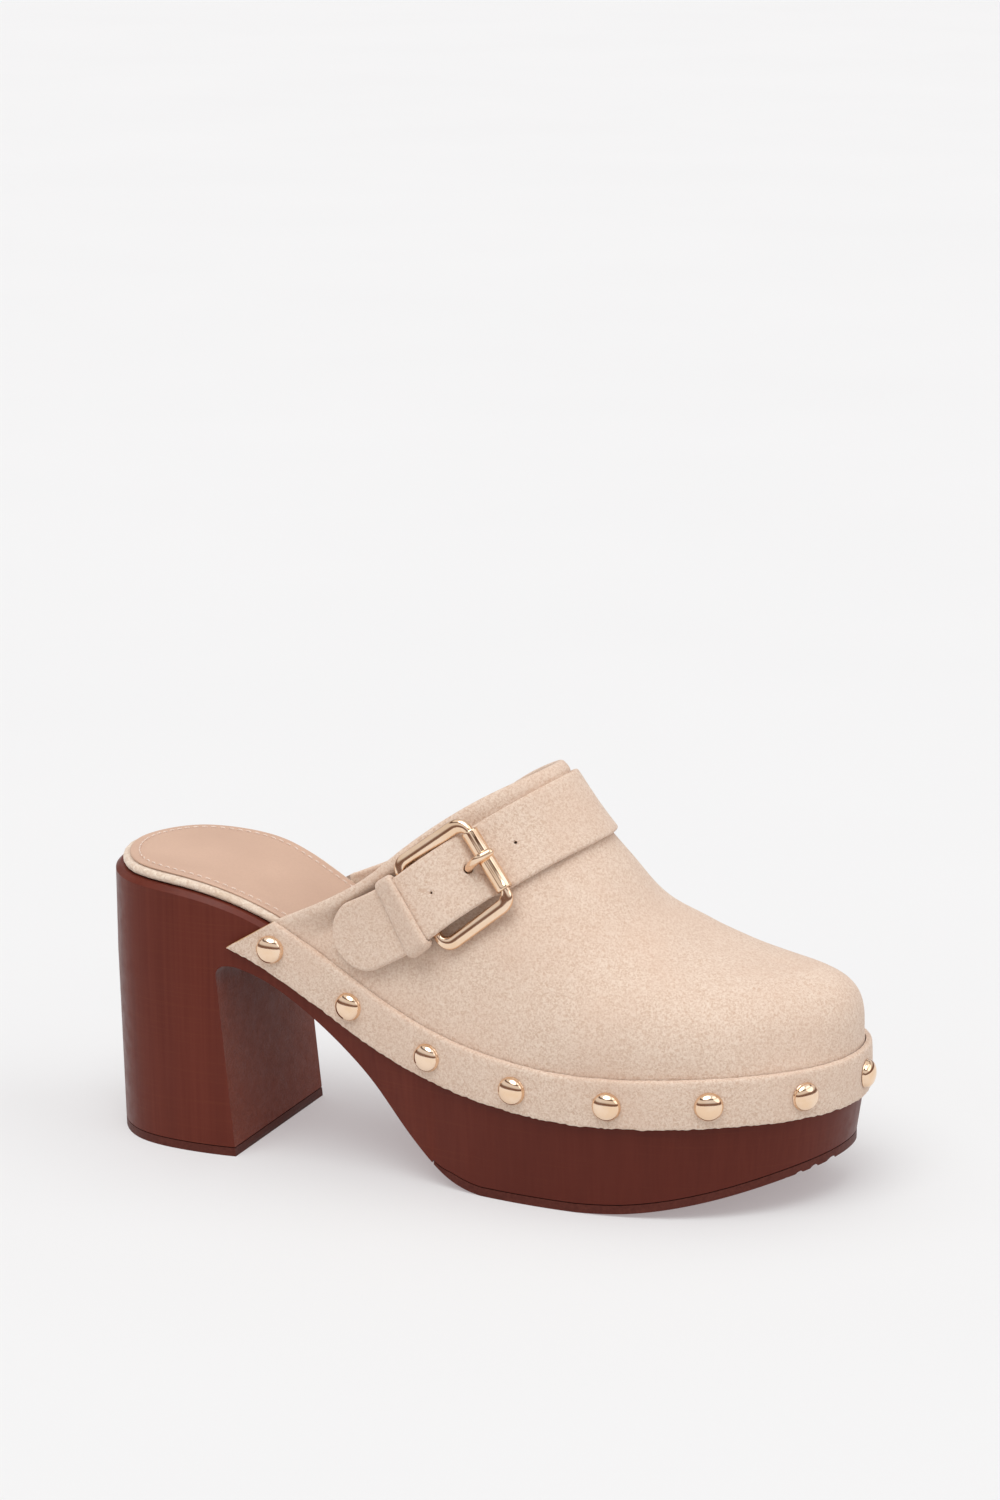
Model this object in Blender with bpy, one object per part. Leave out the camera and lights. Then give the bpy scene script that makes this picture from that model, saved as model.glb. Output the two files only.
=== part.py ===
"""Right platform clog mule: faux-wood platform with a block heel, hollow suede upper, studded rand and
buckled instep strap. Metres, +X to the toe, +Y to the inner side of the foot, +Z up. The origin is the
middle of the heel's floor face."""

import bisect
import math

import bmesh
import bpy
import numpy as np

# Sole
SOLE_LENGTH = 0.2398
SOLE_WIDTH = 0.0870
HEEL_SEAT_WIDTH = 0.0655
HEEL_HEIGHT = 0.0865
PLATFORM_HEIGHT = 0.0407
TOE_SPRING = 0.0140
TOE_SWING = 0.0110
HEEL_END_RADIUS = 0.028
TOE_END_RADIUS = 0.040
ARCH_HEIGHT = 0.0620
HEEL_DEPTH = 0.0518
BREAST_LEAN = 0.0055
BREAST_FILLET = 0.0030
HEEL_TAPER = 0.0008
HEEL_INNER_FLARE = 0.0020
SOLE_EDGE_TAPER = 0.0018
SEAT_BEVEL = 0.0015
OUTSOLE_THICKNESS = 0.0027
OUTSOLE_START = 0.1190
OUTSOLE_EDGE = 0.0010
OUTSOLE_FEATHER = 0.0080
TOP_PIECE_THICKNESS = 0.0027

# Upper and rand
UPPER_WALL = 0.0020
UPPER_BULGE = 0.0012
VAMP_HEIGHT = 0.0840
INNER_LEAN = 0.045
VAMP_START = 0.0653
INSTEP_START = 0.1458
INSTEP_END = 0.2148
RAND_WIDTH = 0.0150
RAND_DROP = 0.0120
RAND_WALL = 0.0018
RAND_END_SLANT = 0.0150
RAND_OVERLAP = 0.0030
CLEARANCE = 0.0003

# Footbed
INSOLE_THICKNESS = 0.0026
INSOLE_INSET = 0.0024
INSOLE_EASE = 0.0120
SOCK_THICKNESS = 0.0006
SOCK_INSET = 0.0021

# Studs
STUDS_EACH_SIDE = 7
STUD_DIAMETER = 0.0086
STUD_HEIGHT = 0.0030
STUD_END_DISTANCE = 0.0080
STUD_LINE = 0.47

# Strap and buckle
STRAP_WIDTH = 0.0226
STRAP_WALL = 0.0020
TAIL_ROUND = 0.0100
BUCKLE_WIDTH = 0.0294
BUCKLE_LENGTH = 0.0244
BUCKLE_WIRE = 0.0030
BUCKLE_FACE = 0.0044
BUCKLE_SHIFT = 0.0008
BUCKLE_CORNER = 0.0038
BUCKLE_BOW = 0.0006
ROLLER_DIAMETER = 0.0052
ROLLER_LENGTH = 0.0206
ROLLER_CLEARANCE = 0.00025
PRONG_WIRE = 0.0026
PRONG_HOLE = 0.0032
PRONG_HOLE_DISTANCE = 0.0057
KEEPER_WIDTH = 0.0076
KEEPER_WALL = 0.0015
TAIL_LENGTH = 0.0256

# Plan of the sole's upper edge: station along the length, half width as a share of half of SOLE_WIDTH in
# front of the heel seat (or of half of HEEL_SEAT_WIDTH up to it), centre line as a share of TOE_SWING.
SEAT_PLAN = ((0.05, 0.810), (0.09, 0.950), (0.14, 1.0), (0.19, 0.990))
FOREPART_PLAN = (
    (0.25, 0.690),
    (0.34, 0.676),
    (0.42, 0.743),
    (0.50, 0.830),
    (0.60, 0.940),
    (0.70, 1.000),
    (0.80, 0.965),
    (0.90, 0.795),
    (0.96, 0.560),
)
CENTRE_LINE = (
    (0.0, 0.0),
    (0.10, -0.10),
    (0.20, -0.12),
    (0.32, -0.13),
    (0.45, -0.06),
    (0.60, 0.02),
    (0.70, 0.12),
    (0.85, 0.35),
    (1.0, 1.0),
)

# Side view: station, seat rise as a share of heel height over platform height, lift of the seat and of the
# underside as shares of TOE_SPRING.
SEAT_LINE = (
    (0.00, 1.000, 0.00),
    (0.09, 0.980, 0.00),
    (0.193, 0.905, 0.00),
    (0.243, 0.805, 0.00),
    (0.294, 0.662, 0.00),
    (0.344, 0.517, 0.00),
    (0.395, 0.371, 0.00),
    (0.445, 0.247, 0.00),
    (0.495, 0.151, 0.00),
    (0.546, 0.085, 0.00),
    (0.596, 0.042, 0.00),
    (0.70, 0.000, 0.00),
    (0.80, 0.000, 0.05),
    (0.90, 0.000, 0.11),
    (1.00, 0.000, 0.12),
)
UNDERSIDE_LINE = (
    (0.218, 0.995, 0.00),
    (0.248, 0.950, 0.00),
    (0.284, 0.870, 0.00),
    (0.329, 0.745, 0.00),
    (0.369, 0.620, 0.00),
    (0.415, 0.450, 0.00),
    (0.450, 0.290, 0.00),
    (0.481, 0.165, 0.00),
    (0.511, 0.070, 0.00),
    (0.541, 0.018, 0.00),
    (0.566, 0.000, 0.00),
    (0.70, 0.000, 0.00),
    (0.76, 0.000, 0.07),
    (0.83, 0.000, 0.27),
    (0.90, 0.000, 0.56),
    (0.96, 0.000, 0.84),
    (1.00, 0.000, 1.00),
)

# Ridge of the vamp: share of its run from INSTEP_START to INSTEP_END, height as a share of VAMP_HEIGHT over
# the rand at LEVEL_STATION, where the seat lies level, side shift as a share of TOE_SWING, fullness of the
# section (2 is an ellipse).
VAMP_RIDGE = (
    (0.00, 1.000, 0.20, 2.10),
    (0.10, 0.880, 0.25, 2.12),
    (0.20, 0.765, 0.32, 2.16),
    (0.30, 0.660, 0.40, 2.20),
    (0.40, 0.555, 0.45, 2.25),
    (0.50, 0.472, 0.50, 2.35),
    (0.60, 0.424, 0.56, 2.40),
    (0.75, 0.362, 0.63, 2.55),
    (1.00, 0.310, 0.76, 2.90),
)
LEVEL_STATION = 0.7

# Where the section that starts at a place along the vamp meets the ridge.
RIDGE_PACE = ((0.0, 0.0), (0.35, 0.30), (0.70, 0.68), (0.90, 0.92), (1.0, 1.0))

# How far a side section has leaned forward by the time it has risen a share of its height.
SIDE_LEAN = ((0.0, 0.0), (0.15, 0.19), (0.30, 0.35), (0.50, 0.50), (0.70, 0.66), (0.85, 0.81), (1.0, 1.0))

# Strap route on the upper: place along the vamp, place across it (-1 outer rand, 0 ridge, 1 inner rand).
STRAP_ROUTE = (
    (0.092, 0.950),
    (0.103, 0.72),
    (0.113, 0.45),
    (0.120, 0.20),
    (0.120, 0.00),
    (0.116, -0.25),
    (0.110, -0.45),
    (0.096, -0.64),
    (0.081, -0.81),
    (0.067, -0.962),
)

# Dome of a stud, turned: reach as a share of its radius, rise as a share of its height.
STUD_PROFILE = ((1.0, 0.0), (1.0, 0.12), (0.93, 0.42), (0.74, 0.72), (0.42, 0.93))

# Quarter round where the breast meets the arch: run forward and drop, as shares of BREAST_FILLET.
FILLET_ARC = ((0.15, 0.47), (0.50, 0.13), (1.00, 0.00))

# The rand's columns stand upright this many times RAND_END_SLANT in front of its ends.
LEAN_REACH = 4

# Prong where it climbs: run from its hole's middle towards the roller in wire radii, rise as a share of the
# way from under the strap to over the roller. Its tip: run past the roller's middle and rise, in radii.
PRONG_CLIMB = ((-1.6, 0.01), (0.0, 0.17), (0.3, 0.47), (2.2, 0.84))
PRONG_TIP = ((-0.3, 0.0), (2.4, -0.9))

STATIONS = 38
ACROSS = 5
RIB_STEPS = 8
STRAP_STEPS = 34
TAIL_STEPS = 3
TIP_LEFT = 0.006
TIP_STEPS = 5
STRAP_ACROSS = 4
RUN_STEPS = 240
SIDE_WALK = 3
STRAP_LOOK = 0.002
STUD_LOOK = 0.01
STUD_RIM_STEPS = 4
HEEL_ROWS = 4
KEEPER_STEPS = 2
CORNER_STEPS = 4
WIRE_SIDES = 10
ROLLER_SIDES = 12
PRONG_SIDES = 8
PRONG_STEPS = 22
STUD_SIDES = 12


def clear_scene():
    for obj in list(bpy.data.objects):
        bpy.data.objects.remove(obj, do_unlink=True)


def material(name, colour, roughness, metallic=0.0):
    mat = bpy.data.materials.new(name)
    mat.use_nodes = True
    shader = mat.node_tree.nodes["Principled BSDF"]
    shader.inputs["Base Color"].default_value = (*colour, 1.0)
    shader.inputs["Roughness"].default_value = roughness
    shader.inputs["Metallic"].default_value = metallic
    mat.diffuse_color = (*colour, 1.0)
    return mat


class Curve:
    """Natural cubic through one column of a table, against its first column; level beyond its ends."""

    def __init__(self, rows, column):
        self.xs = [float(row[0]) for row in rows]
        self.ys = [float(row[column]) for row in rows]
        count = len(self.xs)
        step = np.diff(self.xs)
        slope = np.diff(self.ys) / step
        system = np.eye(count)
        right = np.zeros(count)
        for i in range(1, count - 1):
            system[i, i - 1 : i + 2] = (step[i - 1], 2 * (step[i - 1] + step[i]), step[i])
            right[i] = 6 * (slope[i] - slope[i - 1])
        bend = np.linalg.solve(system, right)
        self.first = [float(v) for v in slope - step * (2 * bend[:-1] + bend[1:]) / 6]
        self.second = [float(v) for v in bend[:-1] / 2]
        self.third = [float(v) for v in np.diff(bend) / (6 * step)]

    def __call__(self, x):
        x = max(self.xs[0], min(self.xs[-1], float(x)))
        i = min(max(bisect.bisect_right(self.xs, x) - 1, 0), len(self.xs) - 2)
        t = x - self.xs[i]
        return self.ys[i] + t * (self.first[i] + t * (self.second[i] + t * self.third[i]))


def smooth(x, start, end):
    t = max(0.0, min(1.0, (x - start) / (end - start)))
    return t * t * (3 - 2 * t)


# Plan outline. An angle of 0 is the back of the heel and pi is the toe; a side of -1 is the outer side.


def plan_rows():
    """Half width over the sine of the angle, so that both ends come out round."""
    rows = [(0.0, math.sqrt(HEEL_END_RADIUS * SOLE_LENGTH / 2))]
    for share, width in SEAT_PLAN:
        rows.append((angle_at(share * SOLE_LENGTH), width * HEEL_SEAT_WIDTH / 2 / root(share)))
    for share, width in FOREPART_PLAN:
        rows.append((angle_at(share * SOLE_LENGTH), width * SOLE_WIDTH / 2 / root(share)))
    rows.append((math.pi, math.sqrt(TOE_END_RADIUS * SOLE_LENGTH / 2)))
    return rows


def root(share):
    return 2 * math.sqrt(share * (1 - share))


def angle_at(x):
    return math.acos(max(-1.0, min(1.0, 1 - 2 * x / SOLE_LENGTH)))


def edge(angle, side):
    x = SOLE_LENGTH / 2 * (1 - math.cos(angle))
    half = PLAN(angle) * math.sin(angle)
    return np.array((x, TOE_SWING * CENTRE(x / SOLE_LENGTH) + side * half))


def outward(angle, side):
    step = 1e-4
    before, after = max(angle - step, 0.0), min(angle + step, math.pi)
    along = edge(after, side) - edge(before, side)
    if angle < step or angle > math.pi - step:
        along = np.array((0.0, side if angle < step else -side))
    normal = np.array((-along[1], along[0])) * side
    return normal / np.linalg.norm(normal)


def rim(angle, side, offset):
    return edge(angle, side) + outward(angle, side) * offset


def seat_height(x):
    share = x / SOLE_LENGTH
    rise = (HEEL_HEIGHT - PLATFORM_HEIGHT) * SEAT_RISE(share)
    return PLATFORM_HEIGHT + rise + TOE_SPRING * SEAT_LIFT(share)


def underside_height(x):
    share = x / SOLE_LENGTH
    return ARCH_HEIGHT * max(ARCH_RISE(share), 0.0) + TOE_SPRING * max(TOE_LIFT(share), 0.0)


def seat_slope_length(x):
    """Length along the seat line for each metre of x, so that strips beside it keep their width."""
    step = 0.002
    return math.hypot(1.0, (seat_height(x + step) - seat_height(x - step)) / (2 * step))


def rand_low(x):
    return seat_height(x) - RAND_DROP * seat_slope_length(x)


def rand_high(x):
    return rand_low(x) + RAND_WIDTH * seat_slope_length(x)


def angles_between(first, last, extra=()):
    """The shared stations from one angle to another, with extra ones in place of near neighbours."""
    fixed = sorted({first, last, *extra})
    gap = math.pi / STATIONS * 0.45
    shared = [math.pi * k / STATIONS for k in range(STATIONS + 1)]
    kept = [a for a in shared if first < a < last and min(abs(a - f) for f in fixed) > gap]
    return sorted([*fixed, *kept])


# Mesh helpers


def new_object(name, points, faces, mat, smooth_angle=35):
    mesh = bpy.data.meshes.new(name)
    shift = np.array((ORIGIN_X, 0.0, 0.0))
    mesh.from_pydata([tuple(np.asarray(p) - shift) for p in points], [], faces)
    mesh.validate()
    bm = bmesh.new()
    bm.from_mesh(mesh)
    bmesh.ops.recalc_face_normals(bm, faces=bm.faces)
    bm.to_mesh(mesh)
    bm.free()
    if mat:
        mesh.materials.append(mat)
    mesh.shade_smooth()
    mesh.set_sharp_from_angle(angle=math.radians(smooth_angle))
    obj = bpy.data.objects.new(name, mesh)
    bpy.context.scene.collection.objects.link(obj)
    return obj


class Shell:
    """Points and faces of one closed surface, with grids that share their edges."""

    def __init__(self):
        self.points = []
        self.faces = []

    def add(self, point):
        self.points.append(tuple(float(c) for c in point))
        return len(self.points) - 1

    def row(self, points):
        return [self.add(p) for p in points]

    def quad(self, *corners):
        kept = [c for k, c in enumerate(corners) if c != corners[k - 1]]
        if len(kept) > 2:
            self.faces.append(tuple(kept))

    def strip(self, low, high, closed=False):
        count = len(low)
        for k in range(count if closed else count - 1):
            n = (k + 1) % count
            self.quad(low[k], low[n], high[n], high[k])

    def strips(self, rows):
        for low, high in zip(rows, rows[1:]):
            self.strip(low, high)

    def across(self, left, right):
        """A row of points from one side point to the other."""
        if left == right:
            return [left] * (ACROSS + 1)
        a, b = np.array(self.points[left]), np.array(self.points[right])
        return [left, *(self.add(a + (b - a) * k / ACROSS) for k in range(1, ACROSS)), right]

    def cap(self, pairs):
        """Fills between the two sides of an outline, one row across for each pair of side points."""
        rows = [self.across(*pair) for pair in pairs]
        self.strips(rows)
        return rows


def ring_points(angles, offset, height):
    """A closed ring of rim points: outer side from back to toe, then the inner side back again."""
    outer = [(*rim(a, -1, offset(a)), height(a)) for a in angles]
    inner = [(*rim(a, 1, offset(a)), height(a)) for a in angles[1:-1]]
    return outer + inner[::-1]


def ring_pairs(ring, count):
    """Pairs of outer and inner ring points at the same station."""
    pairs = [(ring[0], ring[0])]
    pairs += [(ring[k], ring[len(ring) - k]) for k in range(1, count - 1)]
    pairs.append((ring[count - 1], ring[count - 1]))
    return pairs


def x_of(angle):
    return SOLE_LENGTH / 2 * (1 - math.cos(angle))


def slab(name, angles, offset, low, high, mat):
    """A closed sheet between two heights over the plan outline moved in by offset."""
    shell = Shell()
    bottom = shell.row(ring_points(angles, offset, low))
    top = shell.row(ring_points(angles, offset, high))
    shell.strip(bottom, top, closed=True)
    shell.cap(ring_pairs(bottom, len(angles)))
    shell.cap(ring_pairs(top, len(angles)))
    return new_object(name, shell.points, shell.faces, mat)


# Sole unit and what is under it


def sole_unit(mat):
    """Platform, arch and heel block in one moulding, with a rebate that takes the upper's lower edge."""
    breast_x = HEEL_DEPTH - BREAST_LEAN
    breast = angle_at(breast_x)
    fillet = {angle_at(breast_x + BREAST_FILLET * run): drop for run, drop in FILLET_ARC}
    rebate = (angle_at(REBATE_START - CLEARANCE), angle_at(REBATE_START))
    outsole = (angle_at(OUTSOLE_START - 2 * CLEARANCE), angle_at(OUTSOLE_START - CLEARANCE))
    angles = angles_between(0.0, math.pi, (breast, *fillet, *rebate, *outsole))
    corner = angles.index(breast)

    def under(a):
        if a <= breast:
            return HEEL_FOOT_TOP
        floor = underside_height(max(x_of(a), breast_x + BREAST_FILLET))
        layer = outsole_layer(x_of(a)) + CLEARANCE if a >= outsole[1] else 0.0
        return floor + layer - BREAST_FILLET * fillet.get(a, 0.0)

    def rebated(a):
        return -(UPPER_WALL + CLEARANCE) if a >= rebate[1] else 0.0

    def ledge(a):
        return rand_low(x_of(a)) + RAND_OVERLAP

    def top_inset(a):
        return rebated(a) - (SEAT_BEVEL if a < rebate[1] else CLEARANCE)

    levels = (
        (lambda a: 0.0 if a <= breast else -SOLE_EDGE_TAPER * smooth(a, breast, outsole[0]), under),
        (lambda a: 0.0, lambda a: (under(a) + ledge(a)) / 2),
        (lambda a: 0.0, ledge),
        (rebated, lambda a: ledge(a) + 2 * CLEARANCE),
        (rebated, lambda a: seat_height(x_of(a)) - SEAT_BEVEL),
        (top_inset, lambda a: seat_height(x_of(a))),
    )
    shell = Shell()
    rings = [shell.row(ring_points(angles, offset, height)) for offset, height in levels]
    for low, high in zip(rings, rings[1:]):
        shell.strip(low, high, closed=True)
    shell.cap(ring_pairs(rings[-1], len(angles)))
    under_pairs = ring_pairs(rings[0], len(angles))
    breast_row = shell.cap(under_pairs[corner:])[0]

    # The heel block hangs below that ring, from its breast corners round the back
    outer = [pair[0] for pair in under_pairs[: corner + 1]]
    above = [pair[1] for pair in under_pairs[corner:0:-1]] + outer
    floor = TOP_PIECE_THICKNESS + CLEARANCE
    for k in range(1, HEEL_ROWS + 1):
        height = HEEL_FOOT_TOP + (floor - HEEL_FOOT_TOP) * k / HEEL_ROWS
        below = shell.row(heel_outline(angles[: corner + 1], height))
        shell.strip(below, above)
        row = shell.across(below[-1], below[0])
        shell.strip(breast_row, row)
        above, breast_row = below, row
    pairs = [(above[corner], above[corner])]
    pairs += [(above[corner + k], above[corner - k]) for k in range(1, corner)]
    rows = [shell.across(*pair) for pair in pairs] + [breast_row]
    shell.strips(rows)
    return new_object("sole_unit", shell.points, shell.faces, mat)


def outsole_layer(x):
    """The outsole's thickness, feathered at its rear edge."""
    share = smooth(x, OUTSOLE_START, OUTSOLE_START + OUTSOLE_FEATHER)
    return OUTSOLE_EDGE + (OUTSOLE_THICKNESS - OUTSOLE_EDGE) * share


def heel_outline(angles, height):
    """Inner breast corner, round the back, to the outer breast corner; it runs in and forward going down."""
    share = 1 - height / HEEL_FOOT_TOP
    breast_x = HEEL_DEPTH - BREAST_LEAN
    stretch = (HEEL_DEPTH - HEEL_TAPER) / (breast_x - HEEL_TAPER)
    points = []
    for side, a in [(1, a) for a in angles[:0:-1]] + [(-1, a) for a in angles]:
        top = rim(a, side, 0.0)
        foot = rim(a, side, HEEL_INNER_FLARE * max(outward(a, side)[1], 0.0) - HEEL_TAPER)
        foot[0] = HEEL_TAPER + (foot[0] - HEEL_TAPER) * stretch
        points.append((*(top + (foot - top) * share), height))
    return points


def heel_top_piece(mat):
    angles = angles_between(0.0, angle_at(HEEL_DEPTH - BREAST_LEAN))
    last = len(angles) - 1
    shell = Shell()
    sides = [shell.row(heel_outline(angles, height)) for height in (0.0, TOP_PIECE_THICKNESS)]
    shell.strip(*sides)
    fronts = []
    for row in sides:
        pairs = [(row[last], row[last])]
        pairs += [(row[last + k], row[last - k]) for k in range(1, last + 1)]
        fronts.append(shell.cap(pairs)[-1])
    shell.strip(*fronts)
    return new_object("heel_top_piece", shell.points, shell.faces, mat)


def strip_body(name, angles, offset, low, high, mat):
    """A closed layer over the front of the plan outline, with a straight rear edge at the first station."""
    shell = Shell()
    outer = [rim(a, -1, offset(a)) for a in angles]
    inner = [rim(a, 1, offset(a)) for a in angles[:-1]]
    rows = []
    for height in (low, high):
        left = shell.row([(*p, height(a)) for p, a in zip(outer, angles)])
        right = shell.row([(*p, height(a)) for p, a in zip(inner, angles)]) + [left[-1]]
        rows.append([shell.across(a, b) for a, b in zip(left, right)])
    for grid in rows:
        shell.strips(grid)
    bottom, top = rows
    shell.strip([r[0] for r in bottom], [r[0] for r in top])
    shell.strip([r[-1] for r in bottom], [r[-1] for r in top])
    shell.strip(bottom[0], top[0])
    return new_object(name, shell.points, shell.faces, mat)


def forefoot_outsole(mat):
    angles = angles_between(angle_at(OUTSOLE_START), math.pi)

    def inset(_):
        return -SOLE_EDGE_TAPER

    def low(a):
        return underside_height(x_of(a))

    def high(a):
        return low(a) + outsole_layer(x_of(a))

    return strip_body("forefoot_outsole", angles, inset, low, high, mat)


# Footbed


def footbed_inset(a):
    """The insole stands back from the seat's rim, and reaches nearly to the upper where there is one."""
    inside = UPPER_WALL + 3 * CLEARANCE
    share = smooth(x_of(a), VAMP_START - INSOLE_EASE, VAMP_START + INSOLE_EASE / 2)
    return -(INSOLE_INSET + (inside - INSOLE_INSET) * share)


def insole_board(mat):
    angles = angles_between(0.0, math.pi)

    def low(a):
        return seat_height(x_of(a)) + CLEARANCE

    return slab("insole_board", angles, footbed_inset, low, lambda a: low(a) + INSOLE_THICKNESS, mat)


def sock_lining(mat):
    angles = angles_between(0.0, math.pi)

    def low(a):
        return seat_height(x_of(a)) + INSOLE_THICKNESS + 2 * CLEARANCE

    def inset(a):
        return footbed_inset(a) - SOCK_INSET

    return slab("sock_lining", angles, inset, low, lambda a: low(a) + SOCK_THICKNESS, mat)


# Upper


def vamp_angle(place):
    first = angle_at(VAMP_START)
    return first + (math.pi - first) * place


def ridge_point(share):
    """Point of the ridge and the fullness of the section that ends there."""
    run = PACE(share)
    x = INSTEP_START + (INSTEP_END - INSTEP_START) * run
    base = rand_high(VAMP_START + (SOLE_LENGTH - VAMP_START) * share)
    height = rand_high(SOLE_LENGTH * LEVEL_STATION) + VAMP_HEIGHT * RIDGE_HEIGHT(run)
    y = TOE_SWING * RIDGE_SHIFT(run)
    return np.array((x, y, max(height, base))), FULLNESS(run)


def upper_point(place, across):
    """Outer face of the upper: place runs from 0 at the topline to 1 at the toe, and across from -1 at the
    outer rand over 0 on the ridge to 1 at the inner rand. Past the rand the face goes on downward."""
    angle = vamp_angle(place)
    side = -1 if across < 0 else 1
    base = edge(angle, side)
    normal = outward(angle, side)
    x = x_of(angle)
    share = (x - VAMP_START) / (SOLE_LENGTH - VAMP_START)
    ridge, fullness = ridge_point(share)
    turn = (1 - abs(across)) * math.pi / 2
    lift = math.copysign(abs(math.sin(turn)) ** (2 / fullness), turn)
    reach = 1 - max(math.cos(turn), 0.0) ** (2 / fullness)
    facing = normal[0] ** 2
    bulge = normal * UPPER_BULGE * math.sin(2 * turn)
    low = rand_high(x)
    lean = LEAN(lift) + (INNER_LEAN * math.sin(math.pi * lift) if across > 0 else 0.0)
    return np.array(
        (
            base[0] + (ridge[0] - base[0]) * ((1 - facing) * lean + facing * reach) + bulge[0],
            base[1] + (ridge[1] - base[1]) * reach + bulge[1],
            low + (ridge[2] - low) * lift,
        )
    )


def upper_normal(place, across):
    step = 2e-3
    nearer = 1 - 2 * step
    a = max(-nearer, min(nearer, across))
    p = max(step, min(1 - step, place))
    along = upper_point(p + step, a) - upper_point(p - step, a)
    over = upper_point(p, a + step) - upper_point(p, a - step)
    normal = np.cross(along, over)
    return normal / np.linalg.norm(normal)


def upper(mat):
    """One hollow wall: ribs from rand to rand over the ridge, thickened inward."""
    angles = angles_between(angle_at(VAMP_START), math.pi)
    first = angles[0]
    places = [(a - first) / (math.pi - first) for a in angles]
    steps = [-1 + k / RIB_STEPS for k in range(2 * RIB_STEPS + 1)]
    shell = Shell()
    ribs = []
    for a, place in zip(angles[:-1], places):
        x = x_of(a)
        foot = rand_low(x) + RAND_OVERLAP + 4 * CLEARANCE
        middle = (foot + rand_high(x)) / 2
        sides = [[(*edge(a, s), z) for z in (foot, middle)] for s in (-1, 1)]
        ribs.append(shell.row([*sides[0], *(upper_point(place, t) for t in steps), *sides[1][::-1]]))
    foot = rand_low(SOLE_LENGTH) + RAND_OVERLAP + 4 * CLEARANCE
    middle = (foot + rand_high(SOLE_LENGTH)) / 2
    toe = [(*edge(math.pi, -1), z) for z in (foot, middle)]
    toe = shell.row([*toe, *(upper_point(1.0, t) for t in steps[: RIB_STEPS + 1])])
    shell.strips(ribs)
    half = len(toe)
    shell.strip(ribs[-1][:half], toe)
    shell.strip(ribs[-1][half - 1 :], toe[::-1])
    obj = new_object("upper", shell.points, shell.faces, mat)
    wall = obj.modifiers.new("wall", "SOLIDIFY")
    wall.thickness = UPPER_WALL
    wall.offset = -1.0
    wall.use_even_offset = True
    wall.use_quality_normals = True
    return obj


# Rand and studs


def leaned(angle, share):
    """The angle that a column of the rand reaches at a share of its height: it leans by the slanted end."""
    x = x_of(angle)
    upright = smooth(x, VAMP_START, VAMP_START + LEAN_REACH * RAND_END_SLANT)
    return angle_at(x - RAND_END_SLANT * (1 - share) * (1 - upright))


def rand_column(angle, side, share, offset):
    """A point of the rand: share 0 is its lower edge, 1 its upper."""
    a = leaned(angle, share)
    at = x_of(a)
    return (*rim(a, side, offset), rand_low(at) + (rand_high(at) - rand_low(at)) * share)


def rand_band(mat):
    angles = angles_between(angle_at(VAMP_START), math.pi)
    route = [(a, -1) for a in angles] + [(a, 1) for a in angles[-2::-1]]
    shell = Shell()
    loops = []
    for a, side in route:
        loop = [rand_column(a, side, share, CLEARANCE) for share in (0.0, 0.5, 1.0)]
        loop += [rand_column(a, side, share, CLEARANCE + RAND_WALL) for share in (1.0, 0.5, 0.0)]
        loops.append(shell.row(loop))
    for one, two in zip(loops, loops[1:]):
        shell.strip(one, two, closed=True)
    for end in (loops[0], loops[-1]):
        shell.quad(end[0], end[1], end[4], end[5])
        shell.quad(end[1], end[2], end[3], end[4])
    return new_object("rand_band", shell.points, shell.faces, mat)


def stud_seats():
    """Centres and outward directions, evenly spaced from each end of the rand to the one at the toe."""
    first = angle_at(VAMP_START)
    fine = np.linspace(first, math.pi, RUN_STEPS + 1)
    seats = []
    for side in (-1, 1):
        points = np.array([rand_column(a, side, STUD_LINE, CLEARANCE + RAND_WALL) for a in fine])
        run = np.concatenate(([0.0], np.cumsum(np.linalg.norm(np.diff(points, axis=0), axis=1))))
        stops = np.linspace(STUD_END_DISTANCE, run[-1], STUDS_EACH_SIDE + 1)
        places = [float(np.interp(stop, run, fine)) for stop in stops[: None if side < 0 else -1]]
        found = [stud_seat(a, side) for a in places]
        seats += found if side < 0 else found[::-1]
    return seats


def stud_seat(angle, side):
    """A stud's centre and direction: it stands off where the rand hollows, so that its whole rim clears."""
    skin = CLEARANCE + RAND_WALL
    centre = np.array(rand_column(angle, side, STUD_LINE, skin))
    angle = leaned(angle, STUD_LINE)
    normal = np.array((*outward(angle, side), 0.0))
    pace = np.linalg.norm(np.array(rim(angle - STUD_LOOK, side, skin)) - centre[:2]) / STUD_LOOK
    reach = STUD_DIAMETER / 2 / pace
    proud = 0.0
    for k in range(-STUD_RIM_STEPS, STUD_RIM_STEPS + 1):
        beside = min(max(angle + reach * k / STUD_RIM_STEPS, 0.0), math.pi)
        near = np.array(rim(beside, side, skin)) - centre[:2]
        proud = max(proud, float(np.dot(near, normal[:2])))
    return centre + normal * proud, normal


def stud(name, centre, normal, mat):
    """A domed head turned about its own axis, flat behind."""
    radius = STUD_DIAMETER / 2
    up = np.array((0.0, 0.0, 1.0))
    side = np.cross(up, normal)
    base = centre + normal * CLEARANCE
    shell = Shell()
    rows = []
    for reach, rise in STUD_PROFILE:
        ring = []
        for k in range(STUD_SIDES):
            turn = 2 * math.pi * k / STUD_SIDES
            flat = side * math.cos(turn) + up * math.sin(turn)
            ring.append(base + flat * radius * reach + normal * STUD_HEIGHT * rise)
        rows.append(shell.row(ring))
    for low, high in zip(rows, rows[1:]):
        shell.strip(low, high, closed=True)
    shell.faces.append(tuple(rows[0]))
    crown = shell.add(base + normal * STUD_HEIGHT)
    for k in range(STUD_SIDES):
        shell.quad(rows[-1][k], rows[-1][(k + 1) % STUD_SIDES], crown)
    return new_object(name, shell.points, shell.faces, mat)


# Strap, keeper and buckle, laid out along the strap's own run on the upper


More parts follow.
